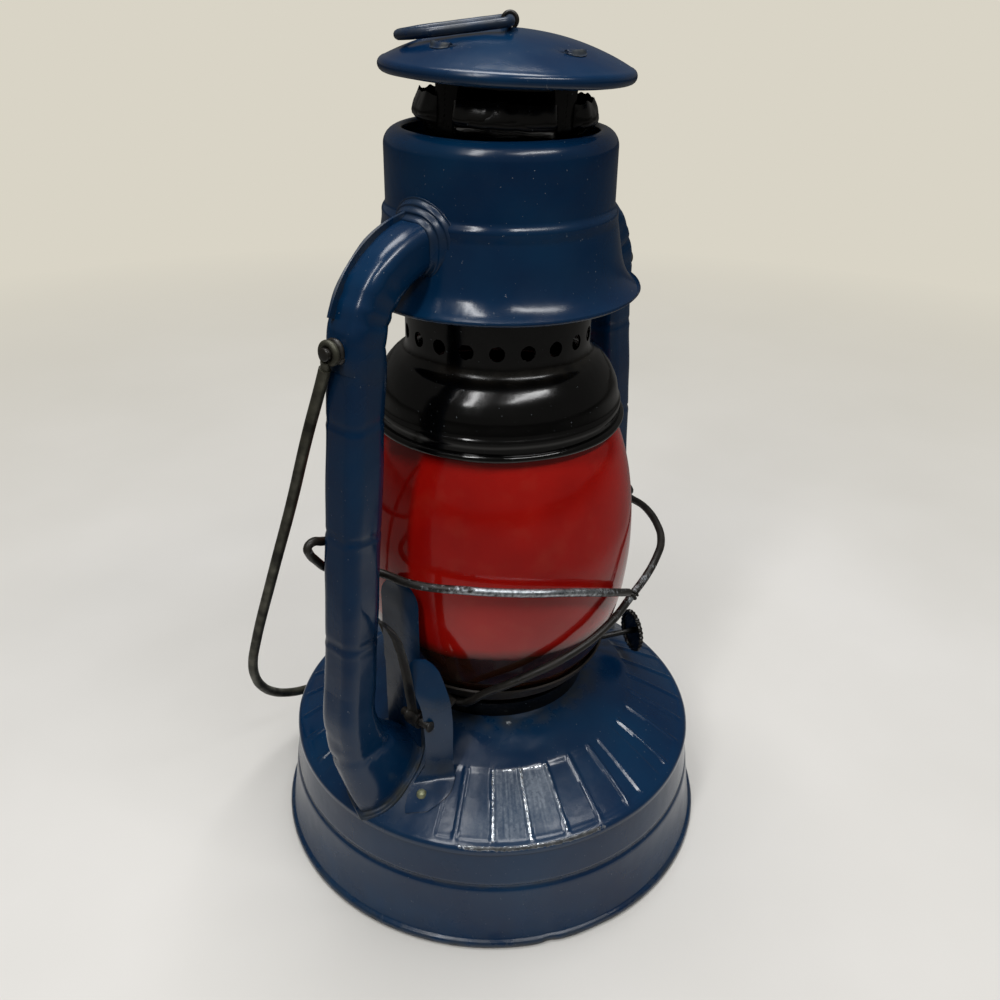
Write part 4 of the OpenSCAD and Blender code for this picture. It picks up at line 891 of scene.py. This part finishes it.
def makeRing(c):
    # Lift ring lying back on the cap, its straight end through a small eye
    w, n = c["ringW"] / 2, c["ringLen"]
    points = [(0, 0), (0, w - 4), (0.5, w - 1.6), (2.4, w - 0.2), (6, w), (n - w, w)]
    points += [(n - w + w * math.sin(a), w * math.cos(a)) for a in [math.radians(15 * k) for k in range(1, 12)]]
    points += [(n - w, -w), (6, -w), (2.4, -w + 0.2), (0.5, -w + 1.6), (0, -w + 4), (0, -0.2)]
    out, across = polar(1, c["ringAz"], 0), polar(1, c["ringAz"] + 90, 0)
    drop = math.radians(c["ringDrop"])
    direction = out * math.cos(drop) - up(math.sin(drop))
    path = [up(eyeZ) + direction * x + across * y for x, y in points]
    bm = leaned(wound(path, c["ringWire"]))
    dented(bm, 0.06, 4, 1)
    finished(bm, "liftRing", "lift_ring", *blue, ["lift_ring"], 60, wear=0.25, grime=0.55)
    eye = []
    for k in range(15):
        a = math.radians(-62 + 304 * k / 14)
        eye.append(up(eyeZ) + out * 2.05 * math.cos(a) + up(2.05 * math.sin(a)))
    bm = leaned(wound(eye, 0.58))
    finished(bm, "ringEye", "chimney", *black, ["ring_eye"], 60, wear=0.1, grime=0.6)


makeRing(cap)
print("bell, crown and cap made")

# Globe, its plate and wires

globe = {"r": 48.5, "footZ": 72.35, "mouthZ": 171.3, "glass": 2.4, "floorZ": 71.5, "guard": 1.4, "seatR": 34.2}


def makeGlobe(g):
    r, z, top = g["r"], g["footZ"], g["mouthZ"]
    line = softened([
        (r - 16.4, z + 0.1), (r - 13.2, z + 0.4), (r - 10.6, z + 4.4), (r - 7.2, z + 10.4), (r - 3.9, z + 19),
        (r - 1.4, z + 30), (r - 0.1, z + 45), (r - 0.3, z + 57), (r - 1.2, z + 67), (r - 2.9, z + 77),
        (r - 5.8, z + 87), (r - 9.3, top - 5), (r - 10.4, top - 2), (r - 12, top)], 6, 4)
    bm = spun(walled(line, g["glass"]), 240)
    dented(bm, 0.12, 30, 14)
    finished(bm, "globeGlass", "carriage", rubyGlass, "red_glass", ["globe"], 60)

    f, rim = g["floorZ"], r - 7.6
    line = softened([(24.5, f + 1.6), (24.5, f), (rim - 5.3, f), (rim - 2.7, f + 2.2), (rim - 0.6, f + 6.6),
                     (rim + 0.2, f + 7.2)], 0.8, 3)
    bm = spun(walled(line, 0.7), 192)
    dented(bm, 0.1, 9, 3)
    ring = spun(walled([(32.6, 68.5), (32.6, f + 0.1)], 0.7), 192)
    bm = joined([bm, ring])
    finished(bm, "globePlate", "carriage", sootyPlate, "dark_plate", ["globe_plate"], wear=0.12, grime=0.5)


makeGlobe(globe)


def onGlobe(*rows):
    # Points given by how far they stand off the globe's widest circle, azimuth and height
    return [polar(globe["r"] + out, azimuth, z) for out, azimuth, z in rows]


def makeGuards(g):
    r, low = g["r"], g["floorZ"] - g["guard"] - 0.06
    seat = g["seatR"] - r
    loop = onGlobe(
        (seat, 186, low), (seat + 0.3, 194, low), (-12.1, 199, low - 0.1), (-8.9, 205, low + 2),
        (-6.2, 210, 75.8), (-3.9, 217, 81.7), (-1.3, 232, 89.5), (1.5, 252, 97.6), (3.1, 270, 103.6),
        (4.4, 285, 108), (7.3, 293, 112.4), (9.5, 301, 115), (12.1, 312, 115.4), (13.7, 323, 115.6),
        (14.7, 334, 116))
    loop += [
        (65, -15.2, 112.8), (71, -9.8, 110.2), (75.8, -8.3, 109.2), (78.9, -4.2, 109), (78.9, 4.2, 109),
        (75.8, 8.3, 109.2), (71, 9.8, 109.8), (64, 15, 111.4)]
    loop += onGlobe(
        (11, 30, 111.6), (7.5, 52, 107), (5.9, 80, 96.5), (2.5, 105, 86), (-2.9, 123, 79.4), (-6.4, 130, 75.6),
        (-9, 136, low + 2), (-12.1, 142, low - 0.1), (seat + 0.3, 147, low), (seat, 155, low))
    belly = onGlobe(
        (seat, 46, low), (seat + 0.3, 53, low), (-12.1, 57, low - 0.1), (-8.9, 60.5, low + 2), (-6.2, 62, 76),
        (-2.3, 64, 84), (1.5, 70, 98), (2.9, 84, 113), (3.5, 104, 127), (4.5, 128, 136), (7.9, 150, 140))
    belly += [
        (-58, 14, 140.6), (-65, 11, 140.6), (-70, 10.6, 142.2), (-73.4, 10.6, 143.4), (-75.4, 10.6, 142.4),
        (-75, 10.6, 140), (-72.8, 10.6, 136.6), (-68.8, 10.6, 132), (-64, 10.4, 129.8), (-58.6, 8.6, 128.2),
        (-54.6, 2, 127)]
    belly += onGlobe(
        (5.3, 192, 127.4), (3.7, 212, 128.2), (3.2, 230, 127.2), (3.1, 248, 124.2), (3.3, 266, 118),
        (3.9, 281.9, 110.6))
    for name, node, path, middle, width, most in (
            ("guardLoop", "guard_loop_wire", loop, 286, 16, 0.5),
            ("guardBelly", "guard_belly_wire", belly, 234, 44, 0.86)):
        def rubbed(p):
            azimuth = azimuthOf(p)
            return 0.12 + most * bump(azimuth, middle, width) + 0.4 * drift(azimuth * 0.35, p[2] * 0.6, 3)
        bm = wound(path, g["guard"])
        dented(bm, 0.05, 5, 2)
        finished(bm, name, "carriage", *wire, [node], 60, wear=rubbed, grime=0.35)
    cross = polar(r + 4.4, 285, 108)
    way = (loop[10] - loop[8]).normalized()
    side = way.orthogonal().normalized()
    other = way.cross(side)
    turns = []
    for k in range(41):
        a = math.tau * 1.4 * k / 40
        turns.append(cross + way * (k / 40 - 0.5) * 1.8 + (side * math.cos(a) + other * math.sin(a)) * 1.72)
    bm = wound(turns, 0.42)
    finished(bm, "guardTie", "carriage", *wire, ["guard_clip"], 60, wear=0.3, grime=0.6)


makeGuards(globe)
print("globe and guards made")

# Bail and its ears

bail = {"wire": 1.8, "halfW": 70.4, "arm": 136, "earZ": 206, "restSin": 0.39443}


def makeBail(b):
    w, n = b["halfW"], b["arm"]
    right = [(w, 0, -5.5), (w, 0, -12), (w + 0.3, 0, -30), (w - 0.2, 0, -60), (w + 0.2, 0, -95), (w, 0, -n)]
    curve = [(w * math.cos(a), 0, -n - w * math.sin(a)) for a in [math.radians(10 * k) for k in range(1, 18)]]
    left = [(-x, y, z) for x, y, z in right[::-1]]
    parts = [wound(right + curve + left, b["wire"])]
    for side in (-1, 1):
        turns = []
        for k in range(37):
            a = math.radians(-96 + 9.8 * k)
            turns.append(Vector((side * (w + 0.5 - k / 36), 2.75 * math.cos(a) * -side, 2.75 * math.sin(a))))
        neck = [Vector((side * w, 0, -8)), Vector((side * w, 0.1 * side, -4.9)), turns[1] - up(0.1)]
        parts += [wound(turns, 1.0), wound(neck, 1.35)]
    bm = moved(joined(parts), Matrix.Translation((0, 0, b["earZ"])) @ spin(math.asin(b["restSin"]), "X"))
    finished(bm, "bailWire", "bail", dullWire, "bail_wire", ["bail"], 60)


makeBail(bail)


# Ears, guide plate, bracket, lever and pin

ear = {
    "faceX": 67.95, "z": 206, "pin": 1.7, "boss": 3.1, "wire": 0.95, "headX": 71.7, "headR": 1.95, "headT": 0.8,
}


def makeEar(e, side, name):
    # A stud through a pressed ring on the tube, its outer end spread to hold the bail
    out = Vector((side, 0, 0))
    stud = rod((e["faceX"] * side - side, 0, e["z"]), out, e["pin"], e["headX"] - e["faceX"] + 1, 32, 0.1)
    head = rod((e["headX"] * side, 0, e["z"]), out, e["headR"], e["headT"], 40, 0.45)
    coils = []
    for k in range(30):
        a = math.radians(200 + k * 24)
        r = e["boss"] - 0.03 * k
        x = side * (e["faceX"] + 0.05 + 0.018 * k)
        coils.append(Vector((x, r * math.cos(a), e["z"] + r * math.sin(a))))
    bm = joined([stud, head, wound(coils, e["wire"])])
    dented(bm, 0.22, 2.6, 5)
    finished(bm, name + "Ear", "frame", *wire, [name + "_ear"], 60, wear=0.2, grime=0.35)


for side, name in sides:
    makeEar(ear, side, name)


def axes(place, x, y):
    # Frame at place whose x and y axes point along the given directions
    x, y = Vector(x).normalized(), Vector(y).normalized()
    turn = Matrix((x, y, x.cross(y))).transposed()
    return Matrix.Translation(place) @ turn.to_4x4()


guide = {"az": 183, "r": 50.7, "topZ": 124.5, "w": 16, "t": 1.1, "lowZ": 58}


def makeGuide(g):
    # Upright plate with a rounded head
    half = g["w"] / 2
    roundZ = g["topZ"] - half
    out, across = polar(1, g["az"], 0), polar(1, g["az"] + 90, 0)

    def onPlate(x, y):
        y, z = x * 2, g["lowZ"] + (y + 0.5) * (g["topZ"] - g["lowZ"])
        wide = half if z < roundZ else math.sqrt(max(half ** 2 - (z - roundZ) ** 2, 0.6))
        if z < 90:
            wide *= 0.94
        belly = 0.1 * math.cos(y * 1.2) - 0.28 * y + 0.2 * drift(y, z / 9, 3)
        return out * (g["r"] + 0.1 + belly) + across * (y * wide) + up(z)
    bm = sheet(16, 34, g["t"] - 0.3, onPlate)
    finished(bm, "guidePlate", "frame", *blue, ["guide_plate"],
             wear=lambda p: 0.18 * bump(p[2], g["topZ"], 3), grime=0.1)


makeGuide(guide)

# Rows of the bracket from the tip of its foot up to its head: left and right edge along the plate,
# height, and how far the row stands out to the front. The foot rows lie on the fount
bracket = {
    "start": (-58.6, -15.5), "az": -46, "sheet": 1.0, "rivet": (-60.6, -20.3),
    "foot": (
        ((-68.0, -19.6), (-63.4, -25.6)), ((-66.8, -18.2), (-59.4, -27.3)), ((-63.9, -16.4), (-54.8, -28.2)),
        ((-61.2, -15.6), (-51.6, -27.2)), ((-59.6, -15.4), (-49.6, -25.9))),
    "plate": (
        (3.6, 13.0, 57.5, -0.2), (3.7, 13.1, 64, 0), (3.5, 13.1, 71, 0), (3.3, 13.1, 77.5, 0),
        (2.3, 12.9, 82.2, -0.1), (0.9, 12.6, 86, -0.5), (-0.4, 11.6, 90, -1.2), (-1.1, 10.4, 94, -1.9),
        (-1.2, 8.9, 97.2, -2.5), (-0.6, 6.6, 99.6, -3), (1.0, 4.2, 101, -3.3)),
}


def makeBracket(b):
    along = polar(1, b["az"], 0)
    front = Vector((along[1], -along[0], 0))
    start = Vector((*b["start"], 0))
    steps = [k / 12 for k in range(13)]
    rows = []
    for left, right in b["foot"]:
        row = [Vector(left).lerp(Vector(right), t) for t in steps]
        rows.append([(p[0], p[1], domeZ(p.length) + 0.55) for p in row])
    for left, right, z, out in b["plate"]:
        slope = -4 * min(max((z - 77) / 6, 0), 1) * (1 if z < 93 else (101 - z) / 8)
        rows.append([
            start + along * (left + (right - left) * t) + front * (out + 0.25 * math.sin(t * math.pi))
            + up(z + slope * (t - 0.5)) for t in steps])
    bm = lofted(rows, closed=False)
    bmesh.ops.subdivide_edges(bm, edges=bm.edges, cuts=1, use_grid_fill=True)
    bmesh.ops.smooth_vert(bm, verts=bm.verts, factor=0.4, use_axis_x=True, use_axis_y=True, use_axis_z=True)
    bmesh.ops.recalc_face_normals(bm, faces=bm.faces)
    bmesh.ops.solidify(bm, geom=bm.faces, thickness=b["sheet"])
    dented(bm, 0.18, 5, 4)
    finished(bm, "leverBracket", "frame", *blue, ["lever_bracket"], 50,
             wear=lambda p: 0.22 * bump(p[2], 100, 3) + 0.15,
             grime=lambda p: 0.45 * bump(p[2], 56, 5) + 0.3 * bump(p[2], 84, 3))

    x, y = b["rivet"]
    seat = domeZ(radiusOf((x, y))) + 0.9
    head = spun([(0.01, 1.1), (0.7, 1.0), (1.3, 0.7), (1.6, 0.3), (1.7, -1), (0.01, -1)], 32)
    moved(head, Matrix.Translation((x, y, seat)))
    dented(head, 0.12, 1.3, 2)
    finished(head, "rivetHead", "frame", bareRivet, "bare_rivet", ["bracket_rivet"], 60)


makeBracket(bracket)

lever = {
    "pivot": (-55.5, -13.45, 76.1), "w": 5, "armLength": 17.5,
    "handle": (
        (-0.5, 0), (-0.9, 5), (-1.6, 10), (-2.3, 16), (-3.2, 22), (-4.6, 29), (-6.4, 36), (-9, 41.5),
        (-12, 45.9)),
}


def makeLever(s):
    # Bent strip: a flat arm under the plate, a rolled eye round the pin, and a handle with a turned edge
    place, count, n = Vector(s["pivot"]), len(s["handle"]) - 1, s["armLength"]

    def onHandle(x, y):
        t = (y + 0.5) * count
        i = min(int(t), count - 1)
        at = Vector(s["handle"][i]).lerp(Vector(s["handle"][i + 1]), t - i)
        wide = s["w"] * (1 - 0.25 * max(t / count - 0.8, 0) / 0.2)
        back = 0.55 * (abs(x * 2) ** 4) - 0.1 * drift(t, x * 3, 1)
        return place + Vector((at[0] - back, x * wide, at[1]))
    handle = sheet(6, 40, 0.8, onHandle)
    eye = spun(walled([(1.62, -2.5), (1.62, 2.5)], -1.2), 48)
    moved(eye, Matrix.Translation(place) @ spin(math.pi / 2, "X"))
    arm = bmesh.new()
    arm.faces.new([arm.verts.new((x, y, 0)) for x, y in (
        (1, -2.3), (n - 2.5, -3.5), (n - 0.3, -2.9), (n, -2.2), (n - 0.4, -1.6), (n - 2.5, -2.1), (2, -0.6))])
    grown = bmesh.ops.extrude_face_region(arm, geom=arm.faces[:])["geom"]
    grown = [g for g in grown if isinstance(g, bmesh.types.BMVert)]
    bmesh.ops.translate(arm, vec=(0, 0, s["w"]), verts=grown)
    eased(arm, 0.25)
    moved(arm, axes(place + Vector((0, s["w"] / 2, 0)), (1, 0, 0), (0, 0, 1)))
    bm = joined([handle, eye, arm])
    dented(bm, 0.1, 4, 9)
    finished(bm, "leverStrip", "lift_lever", *wire, ["lift_lever"], 50, wear=0.34, grime=0.5)

    x, y, z = s["pivot"]
    bm = joined([rod((x, at, z), (0, 1, 0), r, length, 32, ease) for at, r, length, ease in (
        (-20.2, 1.48, 12.7, 0.2), (-20.6, 1.95, 0.7, 0.3), (-10.55, 2.25, 0.8, 0.3))])
    finished(bm, "pivotPin", "frame", wireEnamel, "pin_steel", ["lever_pin"], wear=0.25, grime=0.4)


makeLever(lever)

# Wick knob and filler cap

knob = {"az": -30, "reach": 59, "shaftY": -4.75, "z": 65.7, "r": 8.2, "t": 1.9, "knurls": 26}


def knurled(bm, count, low, high, depth):
    # Ridges round an edge between two radii
    for v in bm.verts:
        x, y, z = v.co
        r = radiusOf(v.co)
        if low < r < high:
            push = 1 + depth * max(math.cos(math.atan2(y, x) * count), -0.3) / r
            v.co = (x * push, y * push, z)


def makeKnob(k):
    r, t = k["r"], k["t"]
    outline = [(0.02, t - 0.9), (1.6, t - 0.9)] + [(2 + 0.5 * i, t - 0.9) for i in range(7)]
    outline += [(r - 1.5, t - 0.75), (r - 1.25, t - 0.1), (r - 0.9, t), (r - 0.3, t - 0.05), (r, t - 0.35),
                (r, 0.35), (r - 0.35, 0), (3.2, 0), (2.4, -0.6), (1.3, -0.8), (0.02, -0.8)]
    bm = spun(outline, 192)
    knurled(bm, k["knurls"], r - 0.6, r + 0.1, 0.38)
    for v in bm.verts:
        if v.co.z > t - 1.2 and abs(v.co.y) < 0.9 and abs(v.co.x) < r - 1.8:
            v.co.z -= 0.7
    dented(bm, 0.08, 3, 6)
    out, side = polar(1, k["az"], 0), polar(1, k["az"] + 90, 0)
    place = out * (k["reach"] - t / 2) + side * k["shaftY"] + up(k["z"])
    moved(bm, axes(place, -side + up(0.8), side * 0.8 + up(1)))
    finished(bm, "wickKnob", "wick_spindle", *black, ["wick_knob"], wear=0.12, grime=0.2)


makeKnob(knob)

filler = {"az": 45, "reach": 54, "r": 12.1, "lowZ": 57.6, "topZ": 69.6, "bore": 10.95, "knurls": 36}


def makeFiller(s):
    r, low, top = s["r"], s["lowZ"], s["topZ"]
    outline = [
        (0.02, top - 0.1), (4, top - 0.15), (7.5, top - 0.35), (8.2, top - 0.8), (8.9, top - 0.35),
        (r - 1, top - 0.4), (r - 0.2, top - 1), (r, top - 1.6), (r, low + 1.1), (r - 0.1, low + 0.5),
        (r - 0.3, low + 0.1), (r - 0.9, low + 0.1), (s["bore"], low + 0.4), (s["bore"], top - 1.4),
        (0.02, top - 1.4)]
    bm = spun(outline, 216)
    knurled(bm, s["knurls"], r - 0.15, r + 0.1, 0.34)
    dented(bm, 0.08, 6, 3)
    moved(bm, Matrix.Translation(polar(s["reach"], s["az"], 0)))
    finished(bm, "fillerCap", "filler_cap", *blue, ["filler_cap"],
             wear=lambda p: 0.22 * bump(p[2], s["topZ"], 1.2), grime=lambda p: 0.5 * bump(p[2], s["lowZ"], 2))


makeFiller(filler)
print("ears, lever, knob and filler made")


# The CAD pieces that keep their own shape
def dressed(material, names):
    for name in names:
        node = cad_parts[name]
        node.data.materials.clear()
        node.data.materials.append(material)


dressed(blueEnamel, ["fount_bottom", "filler_neck"])
dressed(blackEnamel, ["burner_gallery", "chimney_tube"])
dressed(wireEnamel, ["wick_shaft"])
dressed(bareSteel, ["wick_wheels"])
dressed(agedBrass, ["burner_body", "burner_cone", "wick_tube"])
dressed(wickCotton, ["wick"])
dressed(pressedCork, ["filler_gasket"])
print("pieces dressed")


# Floor and light

stageSettings = {"floorR": 60, "floorColor": "#dedcd8", "seen": "#d9d4c6", "sky": 0.12, "dim": 0.8}


def makeStage(s):
    bm = bmesh.new()
    bmesh.ops.create_circle(bm, cap_ends=True, segments=96, radius=s["floorR"])
    mesh = asMesh(bm, "floor")
    floor = placed("floor", mesh)
    material, tree = newMaterial("floor_painted_board")
    tone = coat(tree, linear("#d6d4cf"), pattern(tree, 160, 0.3, 0.7, detail=4), s["floorColor"])
    coords = addNode(tree, "TexCoord").outputs["Object"]
    distance = addNode(tree, "VectorMath", {0: coords}, operation="LENGTH").outputs["Value"]
    seen = addNode(tree, "LightPath").outputs["Is Camera Ray"]
    # Reflections find it darker further out, as where a bench ends in a dim room
    unseen = addNode(tree, "Math", {0: 1, 1: seen}, operation="SUBTRACT")
    edge = addNode(tree, "MapRange", {"Value": distance, 1: 0.1, 2: 0.3, 4: s["dim"]})
    edge = addNode(tree, "Math", {0: edge, 1: unseen}, operation="MULTIPLY")
    tone = coat(tree, tone, edge, "#14120f")
    board = addNode(tree, "BsdfPrincipled", {"Base Color": tone, "Roughness": 0.55})
    # Far from the lantern the camera sees one even pale tone, so the floor has no visible end
    even = addNode(tree, "Emission", {"Color": linear(s["seen"]), "Strength": 1.0})
    far = addNode(tree, "MapRange", {"Value": distance, 1: 0.24, 2: 0.9})
    share = addNode(tree, "Math", {0: far, 1: seen}, operation="MULTIPLY")
    both = addNode(tree, "MixShader", {0: share, 1: board, 2: even})
    addNode(tree, "OutputMaterial", {"Surface": both})
    mesh.materials.append(material)

    world = bpy.data.worlds.new("sky")
    scene.world = world
    world.use_nodes = True
    tree = world.node_tree
    tree.nodes.clear()
    seen = addNode(tree, "LightPath").outputs["Is Camera Ray"]
    near = addNode(tree, "Background", {"Color": linear("#f3f0ea"), "Strength": s["sky"]})
    far = addNode(tree, "Background", {"Color": linear(s["seen"]), "Strength": 1.0})
    both = addNode(tree, "MixShader", {0: seen, 1: near, 2: far})
    addNode(tree, "OutputWorld", {"Surface": both})


lampSettings = [
    {"name": "ceiling", "at": (0.15, 0.2, 1.5), "to": (0, 0, 0.1), "size": (0.9, 0.6), "power": 14.5},
    {"name": "tubeA", "at": (-0.75, -0.15, 1.15), "to": (0, 0, 0.15), "size": (0.12, 0.7), "power": 5},
    {"name": "tubeB", "at": (-0.1, -0.75, 1.15), "to": (0, 0, 0.15), "size": (0.7, 0.12), "power": 5},
]


def makeLamp(s):
    data = bpy.data.lights.new(s["name"], "AREA")
    data.shape, (data.size, data.size_y), data.energy = "RECTANGLE", s["size"], s["power"]
    lamp = placed(s["name"], data)
    lamp.location = s["at"]
    lamp.rotation_euler = (Vector(s["to"]) - Vector(s["at"])).to_track_quat("-Z", "Y").to_euler()


makeStage(stageSettings)
for settings in lampSettings:
    makeLamp(settings)
scene.view_settings.view_transform = "Standard"
print("stage made")
